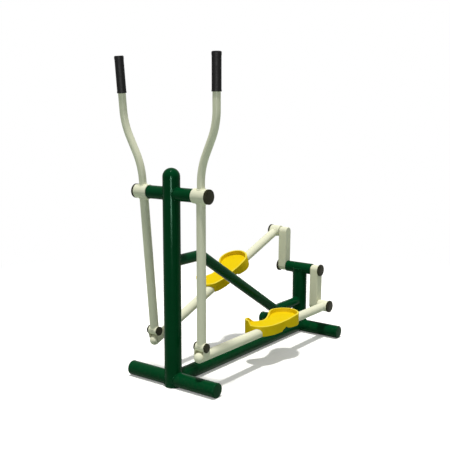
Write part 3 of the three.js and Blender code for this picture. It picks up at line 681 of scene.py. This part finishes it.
def rear_post_foot(a, b):
    """The rear post's lower end: over the cross tube all round and over the beam in front."""
    on_tube = np.sqrt(np.maximum(GROUND_R ** 2 - b ** 2, 0))
    on_beam = np.where(b < 0, np.sqrt(np.maximum(GROUND_R ** 2 - a ** 2, 0)), 0)
    return ground_axis + np.maximum(on_tube, on_beam)


def make_frame():
    """The welded green frame and its beads."""
    def green(name, skins, *replaces):
        make(name, "frame", GREEN, skins, replaces)

    post = ring_profile(POST_R, POST_R - POST_WALL, FOOT_PLATE + SEAT, DOME_BASE, edge=0.4)
    green("main_post_tube", [turned(post, "z", ring=True)], "main_post")
    plate = rounded([[0, 0], [POST_R, 0], [POST_R, FOOT_PLATE], [0, FOOT_PLATE]], [0, 1.2, 0.4, 0])
    green("main_post_foot", [turned(plate, "z")], "post_foot_plate")
    dome = dome_profile(POST_R, POST_WALL, DOME_BASE + DOME_GAP)
    green("main_post_dome", [turned(dome, "z")], "post_dome")
    for side, sign in SIDES:
        ends = (over(POST_R, 0, sign=sign), level(sign * GROUND_HALF))
        tube = run(GROUND_R, GROUND_WALL, "x", *ends, (0, 0, ground_axis))
        green(f"{side}_front_ground_tube", [above_floor(tube, 0)], f"{side}_front_tube")
        for end, y in (("front", 0.0), ("rear", wheelbase)):
            cap = turned(end_cap_profile(sign), "x", (0, y, ground_axis))
            green(f"{side}_{end}_end_cap", [above_floor(cap, 0)], f"{side}_{end}_cap")
    beam_rear = over(GROUND_R, 0, wheelbase, -1.0)
    beam = run(GROUND_R, GROUND_WALL, "y", beam_front, beam_rear, (0, 0, ground_axis))
    green("base_beam_tube", [above_floor(beam, 0)], "base_beam")
    rear = cross_ring(GROUND_R, GROUND_WALL, GROUND_HALF, 0.4, (0, wheelbase, ground_axis))
    green("rear_ground_tube", [above_floor(rear, 0)], "rear_cross_tube")
    head_seat = over(HEAD_R, 1, crank_height, -1.0)
    rear_post = run(POST_R, POST_WALL, "z", rear_post_foot, head_seat, (0, wheelbase, 0))
    green("rear_post_tube", [rear_post], "rear_post")
    head = cross_ring(HEAD_R, HEAD_WALL, HEAD_HALF, 1.5, crank_centre)
    green("crank_head_housing", [head], "crank_head")
    corners = [[0, 0, BRACE_HIGH], [0, BRACE_TOP_RUN, BRACE_HIGH],
               [0, wheelbase - BRACE_REAR_RUN, BRACE_LOW], [0, wheelbase, BRACE_LOW]]
    line = rounded(corners, BRACE_BEND, steps=BEND_STEPS, margin=BEND_MARGIN)
    brace = swept(line, (1, 0, 0), BRACE_R, BRACE_WALL, over(POST_R, 1), over(POST_R, 1, sign=-1.0))
    green("brace_bent_tube", [brace], "brace_tube")
    bar = cross_ring(CROSS_R, CROSS_WALL, CROSS_HALF, 1.2, (0, 0, cross_height))
    green("cross_bar_tube", [bar], "cross_bar")

    ground, top = (0, 0, ground_axis), (0, 0, cross_height)
    rear_end = (0, wheelbase, ground_axis)
    beads = [
        cut_bead(GROUND_R, "y", beam_front, GROUND_BEAD, ground),
        saddle_bead(GROUND_R, GROUND_R, "y", 0, GROUND_BEAD, rear_end, -1.0),
        cut_bead(POST_R, "z", rear_post_foot, POST_BEAD, (0, wheelbase, 0), -1.0),
        cut_bead(POST_R, "z", head_seat, TUBE_BEAD, (0, wheelbase, 0)),
        saddle_bead(BRACE_R, POST_R, "y", 1, TUBE_BEAD, (0, 0, BRACE_HIGH)),
        saddle_bead(BRACE_R, POST_R, "y", 1, TUBE_BEAD, (0, wheelbase, BRACE_LOW), -1.0),
        cut_bead(POST_R - FOOT_SEAM, "z", level(FOOT_PLATE), BUTT_BEAD, lean=0.0),
    ]
    for sign in (1.0, -1.0):
        beads.append(saddle_bead(GROUND_R, POST_R, "x", 0, GROUND_BEAD, ground, sign))
        beads.append(saddle_bead(CROSS_R, POST_R, "x", 0, TUBE_BEAD, top, sign))
        joint = level(sign * (GROUND_HALF + SEAT / 2))
        beads += [cut_bead(GROUND_R - CAP_SEAM, "x", joint, BUTT_BEAD, (0, y, ground_axis), lean=0.0)
                  for y in (0.0, wheelbase)]
    beads = [above_floor(one) for one in beads]
    green("frame_weld_beads", beads)


# Crankset

def pushed_in(sizes, sign, end, centre=(0, 0, 0), edge=2.2):
    """A pushed-in cap on an end this far out along X: its plug, a lid with a rounded edge, and a
    low crown inside a shallow groove."""
    radius, lid, dome, plug, depth = sizes
    groove = radius * CAP_GROOVE
    corners = [[0, -depth], [plug, -depth], [plug, 0], [radius, 0], [radius, lid + 0.25 * dome],
               [groove, lid + 0.62 * dome], [groove - 1.4, lid + 0.3 * dome],
               [groove - 3.2, lid + 0.72 * dome], [0, lid + dome]]
    profile = rounded(corners, [0, 0.5, 0, 0.8, edge, 0.9, 0.6, 1.2, 0]) * [1, sign]
    return turned(profile, "x", np.asarray(centre, float) + [sign * (end + SEAT), 0, 0])


def outline_of_arm(inset):
    """Outline of a crank arm, drawn in by an inset: two half circles of the same radius, one
    about the shaft and one about the pin, joined by straight sides."""
    upper = (ARM_HALF - inset) * on_circle(np.linspace(0, math.pi, ARM_STEPS))
    return np.concatenate([upper, [0, -CRANK_R] - upper])


def crank_arm(sign):
    """A crank arm: its outline carried across the arm's thickness, drawn in along a quarter
    circle at both faces, which are flat lids."""
    angle = np.linspace(0, math.pi / 2, ARM_EDGE_STEPS)
    inset = ARM_ROUND * (1 - np.sin(angle))
    rise = ARM_ROUND * (1 - np.cos(angle))
    flat = [ARM_ROUND + ARM_DRAW]
    insets = np.concatenate([flat, inset, inset[::-1], flat])
    across = np.concatenate([[ARM_IN], ARM_IN + rise, ARM_OUT - rise[::-1], [ARM_OUT]])
    rows = []
    for draw, x in zip(insets, across):
        line = outline_of_arm(draw)
        rows.append(np.stack([np.full(len(line), sign * x), line[:, 0], sign * line[:, 1]], axis=1))
    return skin(np.stack(rows), lids=True)


def make_crankset():
    """The two arms, and the caps over the ends of the crank shaft. The middle of the left arm's
    box is half a crank radius from the shaft, which gives the crank's lean."""
    low, high = (1000 * np.array(corner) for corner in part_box("left_crank_arm"))
    middle = (low + high) / 2
    place = (math.asin(2 * (middle[1] - wheelbase) / CRANK_R), crank_centre)
    for side, sign in SIDES:
        piece = maker(side, "crankset", place)
        piece("crank_arm_forging", CREAM, [crank_arm(sign)], "crank_arm")
        piece("crank_shaft_cap", BLACK, [pushed_in(CRANK_CAP, sign, ARM_OUT)], "crank_cap")


# Hand levers

def make_lever(side, sign):
    """A hand lever: hub, lower tube, bent hand tube, grip, pivot sleeve, hub cap and beads."""
    pivot, hub_at = hinge[f"{side}_bar_pivot"], hinge[f"{side}_lever_swing"]
    swing = math.atan2(pivot[1] - hub_at[1], hub_at[2] - pivot[2])
    piece = maker(side, f"{side}_lever", (swing, hub_at))
    piece("lever_hub_ring", CREAM, [cross_ring(HUB_R, HUB_WALL, HUB_HALF, 2.0)], "lever_hub")
    foot = over(SLEEVE_R, 1, -LEVER_REACH, 1.0, SLEEVE_COPE)
    lower = run(LEVER_TUBE_R, TUBE_WALL, "z", foot, over(HUB_R, 1, sign=-1.0))
    piece("lever_lower_tube", CREAM, [lower], "lever_tube")
    out = sign * GRIP_SHIFT
    end = LEVER_TOP - GRIP_ROOF - SEAT
    corners = [[0, 0, 0], [0, 0, HAND_LOW], [out, 0, HAND_LOW + HAND_RISE], [out, 0, end]]
    line = rounded(corners, HAND_BEND, steps=BEND_STEPS, margin=BEND_MARGIN)
    hand = swept(line, (0, 1, 0), HAND_TUBE_R, HAND_WALL, over(HUB_R, 1))
    piece("bent_hand_tube", CREAM, [hand], "hand_tube")
    bottom, bore = LEVER_TOP - GRIP_LENGTH, HAND_TUBE_R + GRIP_GAP
    collar, knob, held = bottom + GRIP_COLLAR, LEVER_TOP - GRIP_KNOB, GRIP_R - GRIP_SINK
    grip = [[0, end], [bore, end], [bore, bottom], [GRIP_R, bottom], [GRIP_R, collar],
            [held, collar + 2], [held, knob - 3], [GRIP_R, knob], [GRIP_R, LEVER_TOP], [0, LEVER_TOP]]
    grip = rounded(grip, [0, 0, 0.4, 1.5, 1.0, 1.0, 1.0, 1.0, GRIP_ROUND, 0])
    piece("hand_grip", RUBBER, [turned(grip, "z", (out, 0, 0))], "grip")
    sleeve = cross_ring(SLEEVE_R, SLEEVE_WALL, SLEEVE_HALF, 0.8, (0, 0, -LEVER_REACH))
    piece("pivot_sleeve_ring", CREAM, [sleeve], "pivot_sleeve")
    piece("lever_hub_cap", BLACK, [pushed_in(HUB_CAP, sign, HUB_HALF)], "hub_cap")
    piece("lever_weld_beads", CREAM, [
        saddle_bead(LEVER_TUBE_R, HUB_R, "z", 1, LEVER_BEAD, sign=-1.0),
        saddle_bead(HAND_TUBE_R, HUB_R, "z", 1, LEVER_BEAD),
        saddle_bead(LEVER_TUBE_R, SLEEVE_R, "z", 1, SLEEVE_BEAD, (0, 0, -LEVER_REACH),
                    least=SLEEVE_COPE),
    ])


# Pedal bars

def bar_tube():
    """The pedal bar: a ball nose, a straight run and a cut onto the pin sleeve. The rows are
    circles of the ball from its pole, then the cut end, then the same on the inner wall."""
    way = AXES["y"][2]
    ball = np.linspace(0, math.pi / 2, BALL_STEPS)
    rows = []
    for r in (BAR_R, BAR_R - TUBE_WALL):
        out, a, b = round_wall(r, "y")
        nose = [math.sin(t) * out - (BAR_NOSE + r * math.cos(t)) * way for t in ball]
        cut = over(PIN_SLEEVE_R, 0, BAR_REACH, -1.0)(a, b)
        wall = nose + [out + cut[:, None] * way]
        rows += wall if r == BAR_R else wall[::-1]
    return skin(np.stack(rows) - [0, 0, PIVOT_RISE])


def yoke():
    """The yoke: a plate of even thickness that follows a U in plan, from the front of one ear
    round the rear web to the front of the other. At each station the section is a rectangle with
    rounded edges between a bottom and a top point. Over an ear the top point runs on a half circle
    about the pivot, y = -r cos a and z = r sin a, and the bottom one is ahead of it by a flare that
    falls evenly to nothing at the back. Behind, the top slopes down to the web, whose foot follows
    the round of the bar. The front of each ear is bevelled."""
    back = YOKE_REACH - EAR_THICK
    head = np.linspace(0, math.pi, EAR_STEPS)
    ear = np.append(-EAR_R * np.cos(head), back)
    bend = np.linspace(0, math.pi / 2, CORNER_STEPS)[1:]
    web = np.linspace(-EAR_IN, EAR_IN, WEB_STEPS)[1:-1]
    left = np.stack([np.full(len(ear), -EAR_IN - EAR_THICK), ear], axis=1)
    corner = np.stack([-EAR_IN - EAR_THICK * np.cos(bend), back + EAR_THICK * np.sin(bend)], axis=1)
    half = np.concatenate([left, corner])
    rear = np.stack([web, np.full(len(web), YOKE_REACH)], axis=1)
    plan = np.concatenate([half, rear, half[::-1] * [-1, 1]])
    inward = np.concatenate([np.tile([1.0, 0.0], (len(ear), 1)), np.stack([np.cos(bend), -np.sin(bend)], 1)])
    inward = np.concatenate([inward, np.tile([0.0, -1.0], (len(web), 1)), inward[::-1] * [-1, 1]])

    def side_height(y):
        ball = np.sqrt(np.maximum(EAR_R ** 2 - y ** 2, 0))
        return np.where(y > EAR_R, -YOKE_SHOULDER * (y - EAR_R) / (YOKE_REACH - EAR_R), ball)

    quarter = np.linspace(0, math.pi / 2, PLATE_EDGE_STEPS)
    s, c = np.sin(quarter), np.cos(quarter)
    r = EAR_EDGE
    wide = np.concatenate([r * (1 - c), EAR_THICK - r * (1 - s), EAR_THICK - r * (1 - c), r * (1 - s)])
    rise = np.concatenate([-r * (1 - s), -r * (1 - c), r * (1 - s), r * (1 - c)])
    at_top = np.repeat([1.0, 0.0], 2 * PLATE_EDGE_STEPS)
    share = wide / EAR_THICK
    outer_top = side_height(plan[:, 1])
    inner_top = side_height((plan + inward * EAR_THICK)[:, 1])
    in_web = smooth(plan[:, 1], back, YOKE_REACH)
    inner_top = inner_top + (np.minimum(inner_top, -SLEEVE_COPE) - inner_top) * in_web
    top = outer_top[:, None] * (1 - share) + inner_top[:, None] * share
    seat = -PIVOT_RISE - YOKE_SINK + np.sqrt(np.maximum(BAR_R ** 2 - plan[:, 0] ** 2, 0))
    foot = np.where(np.abs(plan[:, 0]) < BAR_R, seat, -YOKE_DEPTH)[:, None]
    z = np.where(at_top > 0, top + rise, foot + rise)
    xy = plan[:, None] + inward[:, None] * wide[None, :, None]
    flare = EAR_FLARE * np.clip((EAR_R - plan[:, 1]) / (2 * EAR_R), 0, 1)
    xy[..., 1] -= flare[:, None] * (1 - at_top)
    points = np.concatenate([xy, z[..., None]], axis=2)
    middle = points.mean(axis=1, keepdims=True)
    drawn_in = middle + (points - middle) * YOKE_DRAW
    points[[0, -1], :, 1] += YOKE_BEVEL
    return skin(np.concatenate([drawn_in[:1], points, drawn_in[-1:]]), lids=True)


def yoke_cap(way):
    """A black cup over an ear's round head: a lid with a rounded rim and a low crown, turned about
    X, and a skirt that reaches back over the ear. The skirt's depth is full above the pivot and
    falls, as a soft step of the height r sin t, to nothing below it, where the ear runs down."""
    lid, crown = PIVOT_CAP_LID, PIVOT_CAP_LID + PIVOT_CAP_CROWN
    corners = [[0, 0], [PIVOT_CAP_BORE, 0], [PIVOT_CAP_BORE, -EAR_THICK], [PIVOT_CAP_R, -EAR_THICK],
               [PIVOT_CAP_R, lid + 0.3], [PIVOT_CAP_FLAT * PIVOT_CAP_R, crown - 0.2], [0, crown]]
    radius, height = rounded(corners, [0, 0, 0.4, 0.8, 1.8, 4.0, 0]).T
    out, _, up = round_wall(1.0, "x")
    skirt = smooth(PIVOT_CAP_R * up, *PIVOT_CAP_STEP)
    along = np.where(height[:, None] < 0, height[:, None] * skirt, height[:, None])
    across = way * (along + EAR_IN + EAR_THICK + SEAT)
    return skin(radius[:, None, None] * out + across[..., None] * AXES["x"][2])


# The pedal's outline: each point's place across as a share of the half width, and forward from the
# heel as a share of the length. Both pedals are the same moulding.
PEDAL_SHARES = [
    (0, 0), (0.62, 0.08), (0.95, 0.25), (0.88, 0.4), (0.67, 0.53), (0.63, 0.67), (0.56, 0.8),
    (0.28, 0.95), (-0.25, 1), (-0.78, 0.985), (-1.07, 0.9), (-0.86, 0.78), (-0.58, 0.65),
    (-0.68, 0.46), (-0.9, 0.32), (-0.9, 0.17), (-0.55, 0.04),
]

# Depth of the skirt at shares of the length forward, with a nick under the waist
SKIRT_SHARES = [0.0, 0.42, 0.455, 0.475, 0.50, 0.56, 1.0]
SKIRT_DEPTHS = [40.0, 40.0, 37.0, 30.0, 38.0, 56.0, 56.0]
TREAD_FILLET = 5.0
BAR_ROOM = 0.8

# Shares forward, and across on the lip's side, between which the rim falls and the toe lip rises
RIM_FALL, LIP_FORWARD, LIP_ACROSS = (0.27, 0.58), (0.76, 0.86), (0.42, 0.66)
pedal_line = closed_spline(np.array(PEDAL_SHARES) * [PEDAL_HALF, -PEDAL_LENGTH], OUTLINE_STEPS)


def pedal_rows():
    """The pedal's section at each station of its outline, as pairs of inset and height.

    From the tread outward: a fillet, the flat-topped rim of height h, the outer skirt down to its
    depth d with a round edge, and back up inside it to the underside. h is full round the heel,
    falls to nothing at the waist and rises again in the toe lip. d steps down at the waist and
    arches over the bar where the outline crosses it.
    """
    line = pedal_line
    ahead = unit(np.roll(line, -1, 0) - np.roll(line, 1, 0))
    inward = np.stack([ahead[:, 1], -ahead[:, 0]], axis=1)
    x, forward = line[:, 0], -line[:, 1] / PEDAL_LENGTH
    lip = smooth(forward, *LIP_FORWARD) * smooth(-x / PEDAL_HALF, *LIP_ACROSS)
    h = np.maximum(RIM * (1 - smooth(forward, *RIM_FALL)), LIP * lip)
    d = np.interp(forward, SKIRT_SHARES, SKIRT_DEPTHS)
    room = BAR_R + BAR_ROOM
    arch = TREAD_RISE - np.sqrt(np.maximum(room ** 2 - x ** 2, 0))
    d = np.where(np.abs(x) < room, np.minimum(d, arch), d)
    fillet = np.clip(h - RIM_EDGE, 0, TREAD_FILLET)
    q = np.linspace(0, math.pi / 2, RIM_EDGE_STEPS)[:, None]
    rows = [(RIM_WALL + fillet + 1, 0 * h)]
    rows += [(RIM_WALL + fillet * (1 - np.sin(t)), fillet * (1 - np.cos(t))) for t in q]
    rows += [(RIM_WALL - RIM_EDGE * (1 - np.cos(t)),
              np.maximum(h - RIM_EDGE * (1 - np.sin(t)), 0)) for t in q]
    rows += [(RIM_EDGE * (1 - np.sin(t)), h - RIM_EDGE * (1 - np.cos(t))) for t in q]
    rows += [(0 * h, h - RIM_EDGE - 1)]
    foot = SKIRT_WALL / 2
    q = np.linspace(0, math.pi, SKIRT_EDGE_STEPS)[:, None]
    rows += [(0 * h, -d + foot + 1)]
    rows += [(foot - foot * np.cos(t), -d + foot - foot * np.sin(t)) for t in q]
    under = -TREAD + 0 * h
    rows += [(SKIRT_WALL + 0 * h, under - 2), (SKIRT_WALL + 0.6 + 0 * h, under - 0.6),
             (SKIRT_WALL + 2 + 0 * h, under), (SKIRT_WALL + 3 + 0 * h, under)]
    inset = np.stack([np.broadcast_to(np.ravel(one), h.shape) for one, _ in rows])
    height = np.stack([np.broadcast_to(np.ravel(one), h.shape) for _, one in rows])
    flat = line[None] + inward[None] * inset[..., None]
    return np.concatenate([flat, height[..., None]], axis=2)


def width_at(share, inset, within=2.5):
    """The least and greatest x of the pedal's outline, drawn in by an inset, at a share forward:
    the means of the points within a small distance of it."""
    near = np.abs(pedal_line[:, 1] + share * PEDAL_LENGTH) < within
    x = pedal_line[near, 0]
    return x[x < 0].mean() + inset, x[x > 0].mean() - inset


def block(section, low, high, draw=0.6):
    """A bar of even section along Y: the section's [x, z] loop at both ends, drawn in a little
    at the very ends for a worn edge, with flat lids."""
    loop = np.asarray(section, float)
    inward = unit(loop.mean(axis=0) - loop)
    rows = []
    for y, size in ((low, 1.0), (low + draw, 0.0), (high - draw, 0.0), (high, 1.0)):
        line = loop + inward * draw * size
        rows.append(np.stack([line[:, 0], np.full(len(line), y), line[:, 1]], axis=1))
    return skin(np.stack(rows), lids=True)


def arched(low_x, high_x, low_z, high_z, room, edge=0.8):
    """Section of a block that sits astride the bar: a rectangle whose lower side follows
    z = -rise + sqrt(room^2 - x^2) wherever that is higher."""
    x = np.linspace(low_x, high_x, SADDLE_STEPS)
    lower = np.maximum(low_z, -TREAD_RISE + np.sqrt(np.maximum(room ** 2 - x ** 2, 0)))
    bottom = np.stack([x, lower], axis=1)
    return np.concatenate([bottom, [[high_x, high_z - edge], [high_x - edge, high_z]],
                           [[low_x + edge, high_z], [low_x, high_z - edge]]])


def bolt(centre):
    """A hex bolt head that points down, with a washer: the head's radius at angle t is half the
    width over flats divided by cos of the angle from the nearest flat, cut by a cone at its face."""
    angle, half = circle(SMALL_COLUMNS), BOLT_ACROSS / 2
    flat = half / np.cos((angle + math.pi / 6) % (math.pi / 3) - math.pi / 6)
    face = np.minimum(flat, half + 0.05)
    rows = []
    for r, depth in ((0 * flat, 0), (flat, 0), (flat, BOLT_HEIGHT - BOLT_BEVEL), (face, BOLT_HEIGHT),
                     (0.5 * flat, BOLT_HEIGHT), (0 * flat, BOLT_HEIGHT)):
        out = on_circle(angle) * r[:, None]
        rows.append(np.column_stack([out, np.full(len(out), -depth - WASHER_THICK)]))
    washer = [[0, 0], [WASHER_R, 0], [WASHER_R, -WASHER_THICK], [0, -WASHER_THICK]]
    washer = rounded(washer, [0, 0.2, 0.2, 0], steps=2)
    return [skin(np.stack(rows) + np.asarray(centre)), turned(washer, "z", centre, columns=WASHER_COLUMNS)]


def make_pedal_bar(side, sign):
    """A pedal bar: tube with a ball nose, yoke and caps, pedal on its bracket, and at the rear
    the sleeve, the crank pin's neck and the cap."""
    pivot = hinge[f"{side}_bar_pivot"]
    low, high = (1000 * np.array(corner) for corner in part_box(f"{side}_pin_sleeve"))
    pin = (low + high) / 2
    slope = math.atan2(pin[2] - pivot[2], pin[1] - pivot[1]) + math.atan2(PIVOT_RISE, BAR_REACH)
    piece = maker(side, f"{side}_pedal_bar", (slope, pivot))
    at_pin = np.array([0, BAR_REACH, -PIVOT_RISE])
    at_pedal = np.array([0, PEDAL_HEEL, TREAD_RISE - PIVOT_RISE])

    piece("pedal_bar_tube", CREAM, [bar_tube()], "bar_tube")
    piece("yoke_plate", CREAM, [yoke()], "pivot_yoke")
    for where, way in (("outer", sign), ("inner", -sign)):
        piece(f"{where}_yoke_cap", BLACK, [yoke_cap(way)], f"{where}_pivot_cap")
    bore = PIN_SLEEVE_R - PIN_SLEEVE_WALL
    sleeve = ring_profile(PIN_SLEEVE_R, bore, -PIN_SLEEVE_IN, PIN_SLEEVE_OUT, edge=1.8) * [1, sign]
    piece("pin_sleeve_ring", CREAM, [turned(sleeve, "x", at_pin, ring=True)], "pin_sleeve")
    face, neck = ARM_OUT + THRUST_GAP - LEVER_PLANE, -PIN_SLEEVE_IN - THRUST_GAP
    tip = PIN_SLEEVE_OUT - PIN_SHORT
    stub = [[0, face], [PIN_NECK_R, face], [PIN_NECK_R, neck], [PIN_R, neck], [PIN_R, tip], [0, tip]]
    stub = rounded(stub, [0, 0.3, 0.3, 0.3, 1.0, 0]) * [1, sign]
    piece("crank_pin_stub", STEEL, [turned(stub, "x", at_pin)], "crank_pin")
    piece("pin_sleeve_cap", BLACK, [pushed_in(PIN_CAP, sign, PIN_SLEEVE_OUT, at_pin)], "pin_cap")

    end, start = (-share * PEDAL_LENGTH for share in BRACKET_SHARES)
    section = arched(-BRACKET_HALF, BRACKET_HALF, -BRACKET_LOW, -TREAD - SEAT, BAR_R)
    piece("pedal_bracket_saddle", CREAM, [moved(block(section, start, end), at_pedal)], "pedal_bracket")
    skins = [skin(pedal_rows(), lids=True)]
    for share in RIB_SHARES:
        edges = width_at(share, RIB_INSET)
        section = arched(*edges, -TREAD - RIB_DEPTH, -TREAD + 1.0, BAR_R + BAR_ROOM)
        y = -share * PEDAL_LENGTH
        skins.append(block(section, y - RIB_HALF, y + RIB_HALF, draw=0.4))
    piece("foot_pedal", YELLOW, [moved(one, at_pedal) for one in skins], "pedal")
    bolts = []
    for share in BOLT_SHARES:
        for x in (-BOLT_SPREAD, BOLT_SPREAD):
            bolts += bolt(at_pedal + [x, -share * PEDAL_LENGTH, -BRACKET_LOW])
    piece("pedal_bolts", ZINC, bolts)

    beads = [saddle_bead(BAR_R, PIN_SLEEVE_R, "y", 0, LEVER_BEAD, at_pin, -1.0)]
    y = np.linspace(-EAR_R - EAR_FLARE + 1, YOKE_REACH - 1, EAR_BEAD_STATIONS)
    for way in (-1.0, 1.0):
        x, z = way * (EAR_IN - YOKE_BEAD_TUCK), -YOKE_DEPTH - YOKE_BEAD_DROP
        path = np.stack([np.full_like(y, x), y, np.full_like(y, z)], axis=1)
        out = np.tile([way * YOKE_BEAD_LEAN, 0, -1.0], (len(y), 1))
        beads.append(bead(path, out, YOKE_BEAD, closed=False))
    angle = np.linspace(*YOKE_BEAD_ARC, BAR_BEAD_STATIONS)
    out = np.stack([np.cos(angle), 0 * angle, np.sin(angle)], axis=1)
    path = out * BAR_R + [0, YOKE_REACH, -PIVOT_RISE]
    beads.append(bead(path, out + [0, 1.0, 0], YOKE_BEAD, closed=False))
    piece("bar_weld_beads", CREAM, beads)


make_frame()
make_crankset()
for side, sign in SIDES:
    make_lever(side, sign)
    make_pedal_bar(side, sign)

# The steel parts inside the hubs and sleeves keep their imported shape, with a turned finish.
for name, node in frame["nodes"].items():
    if name.endswith(("axle", "shaft", "bearing", "pivot_pin")):
        for holder in node.material_slots:
            holder.material = STEEL[0]


# Floor, light and camera

def seen_ray(tree):
    """One where the ray comes from the camera, a shiny surface or glass."""
    path = add(tree, "ShaderNodeLightPath")
    seen = path.outputs["Is Camera Ray"]
    for kind in ("Is Glossy Ray", "Is Transmission Ray"):
        seen = add(tree, "ShaderNodeMath", {0: seen, 1: path.outputs[kind]}, operation="MAXIMUM").outputs[0]
    return seen


# The floor's half width and height, and between which distances from its middle it fades; its
# colour for the light that it throws back and as it is seen; and the glow that is added to it
FLOOR_HALF, FLOOR_DROP, FLOOR_FADE = 40.0, -0.0005, (1.6, 3.2)
FLOOR_MIDDLE = (0.0, 0.6, 0.0)
FLOOR_BOUNCE, FLOOR_SEEN = (0.305, 0.37, 0.325), (1.0, 1.0, 0.985)
FLOOR_LIFT, FLOOR_GLOW = 0.22, (1.0, 1.0, 0.97, 1.0)


def make_floor():
    """A wide pale floor. Near the walker it is lit and keeps the shadow; further out it fades to
    the same white as the background. For the light that it throws back it is a greenish mid grey."""
    half, drop = FLOOR_HALF, FLOOR_DROP
    mesh = bpy.data.meshes.new("floor")
    mesh.from_pydata([(-half, -half, drop), (half, -half, drop), (half, half, drop), (-half, half, drop)],
                     [], [(0, 1, 2, 3)])
    floor = put("floor", mesh)
    material, tree, shader, where = new_material("studio_floor")
    tree.nodes.remove(shader)
    distance = add(tree, "ShaderNodeVectorMath", {0: where, 1: FLOOR_MIDDLE}, operation="DISTANCE")
    seen = seen_ray(tree)
    lit = add(tree, "ShaderNodeBsdfDiffuse", {"Color": blend(tree, seen, FLOOR_BOUNCE, FLOOR_SEEN)})
    lift = add(tree, "ShaderNodeEmission", {"Color": FLOOR_GLOW, "Strength": times(tree, seen, FLOOR_LIFT)})
    near = add(tree, "ShaderNodeAddShader", {0: lit.outputs[0], 1: lift.outputs[0]})
    white = add(tree, "ShaderNodeEmission", {"Color": (1, 1, 1, 1), "Strength": 1.0})
    share = times(tree, ranged(tree, distance.outputs["Value"], *FLOOR_FADE, 0.0, 1.0), seen)
    both = add(tree, "ShaderNodeMixShader", {0: share, 1: near.outputs[0], 2: white.outputs[0]})
    tree.links.new(both.outputs[0], tree.nodes["Material Output"].inputs["Surface"])
    mesh.materials.append(material)


WORLD_LIGHT = 0.33


def make_world():
    """Even white light from all round; the camera and shiny surfaces see it as plain white."""
    world = bpy.data.worlds.new("studio")
    bpy.context.scene.world = world
    world.use_nodes = True
    tree = world.node_tree
    strength = ranged(tree, seen_ray(tree), 0.0, 1.0, WORLD_LIGHT, 1.0)
    tree.links.new(strength, tree.nodes["Background"].inputs["Strength"])
    tree.nodes["Background"].inputs["Color"].default_value = (1, 1, 1, 1)


def aim(item, spot, target):
    """Puts a lamp at a spot and turns its -Z towards the target."""
    item.location = spot
    item.rotation_euler = (Vector(target) - Vector(spot)).to_track_quat("-Z", "Y").to_euler()


# The camera, and the lamps: sizes and distances in metres, the sun's size in degrees
VIEW_AZIMUTH, VIEW_PITCH, VIEW_ROLL = math.radians(36.95), math.radians(8.89), math.radians(0.05)
VIEW_SPOT = (2.4445, -2.8097, 1.4161)
FOCAL_PIXELS, FRAME_PIXELS, SENSOR, VIEW_LIMIT = 756.87, 450.0, 36.0, 200.0
SUN_WAY, SUN_AWAY, SUN_SIZE = (0.0576, -0.156, 1.0), 6, 5.0
SUN_ENERGY, SUN_COLOUR = 2.7, (1.0, 0.985, 0.95)
PANEL_WIDE, PANEL_HIGH, PANEL_FOOT, PANEL_AWAY, PANEL_GLOW = 1.4, 1.6, 0.15, 4.5, 70.0


def make_lamps():
    """A small sun almost overhead, a little to the camera's side, as the photograph's shadows have
    it, and an upright panel behind the camera that only draws the glints on shiny round tubes."""
    sun = bpy.data.lights.new("key_sun", "SUN")
    sun.energy, sun.angle, sun.color = SUN_ENERGY, math.radians(SUN_SIZE), SUN_COLOUR
    aim(put("key_sun", sun), Vector(SUN_WAY) * SUN_AWAY, (0, 0, 0))
    panel = bpy.data.lights.new("glint_panel", "AREA")
    panel.shape, panel.size, panel.size_y = "RECTANGLE", PANEL_WIDE, PANEL_HIGH
    panel.energy = PANEL_GLOW * math.pi * PANEL_WIDE * PANEL_HIGH
    front = put("glint_panel", panel)
    away = Vector((math.sin(VIEW_AZIMUTH), -math.cos(VIEW_AZIMUTH), 0.0)) * PANEL_AWAY
    middle = Vector((0, 0, PANEL_FOOT + PANEL_HIGH / 2))
    aim(front, away + middle, middle)
    front.visible_camera = False
    front.visible_diffuse = False


def make_camera():
    """The camera at the photograph's place: its back axis from azimuth and pitch, turned by the
    small roll, with the focal length that the frame's width in pixels gives."""
    a, e, roll = VIEW_AZIMUTH, VIEW_PITCH, VIEW_ROLL
    back = Vector((math.sin(a) * math.cos(e), -math.cos(a) * math.cos(e), math.sin(e)))
    flat = Vector((math.cos(a), math.sin(a), 0.0))
    up = back.cross(flat)
    right = flat * math.cos(roll) + up * math.sin(roll)
    top = up * math.cos(roll) - flat * math.sin(roll)
    camera = put("camera", bpy.data.cameras.new("camera"))
    camera.data.sensor_width = SENSOR
    camera.data.lens = FOCAL_PIXELS * SENSOR / FRAME_PIXELS
    camera.data.clip_end = VIEW_LIMIT
    turn = Matrix((right, top, back)).transposed().to_4x4()
    camera.matrix_world = Matrix.Translation(Vector(VIEW_SPOT)) @ turn
    bpy.context.scene.camera = camera


make_floor()
make_world()
make_lamps()
make_camera()
bpy.context.scene.view_settings.view_transform = "Standard"
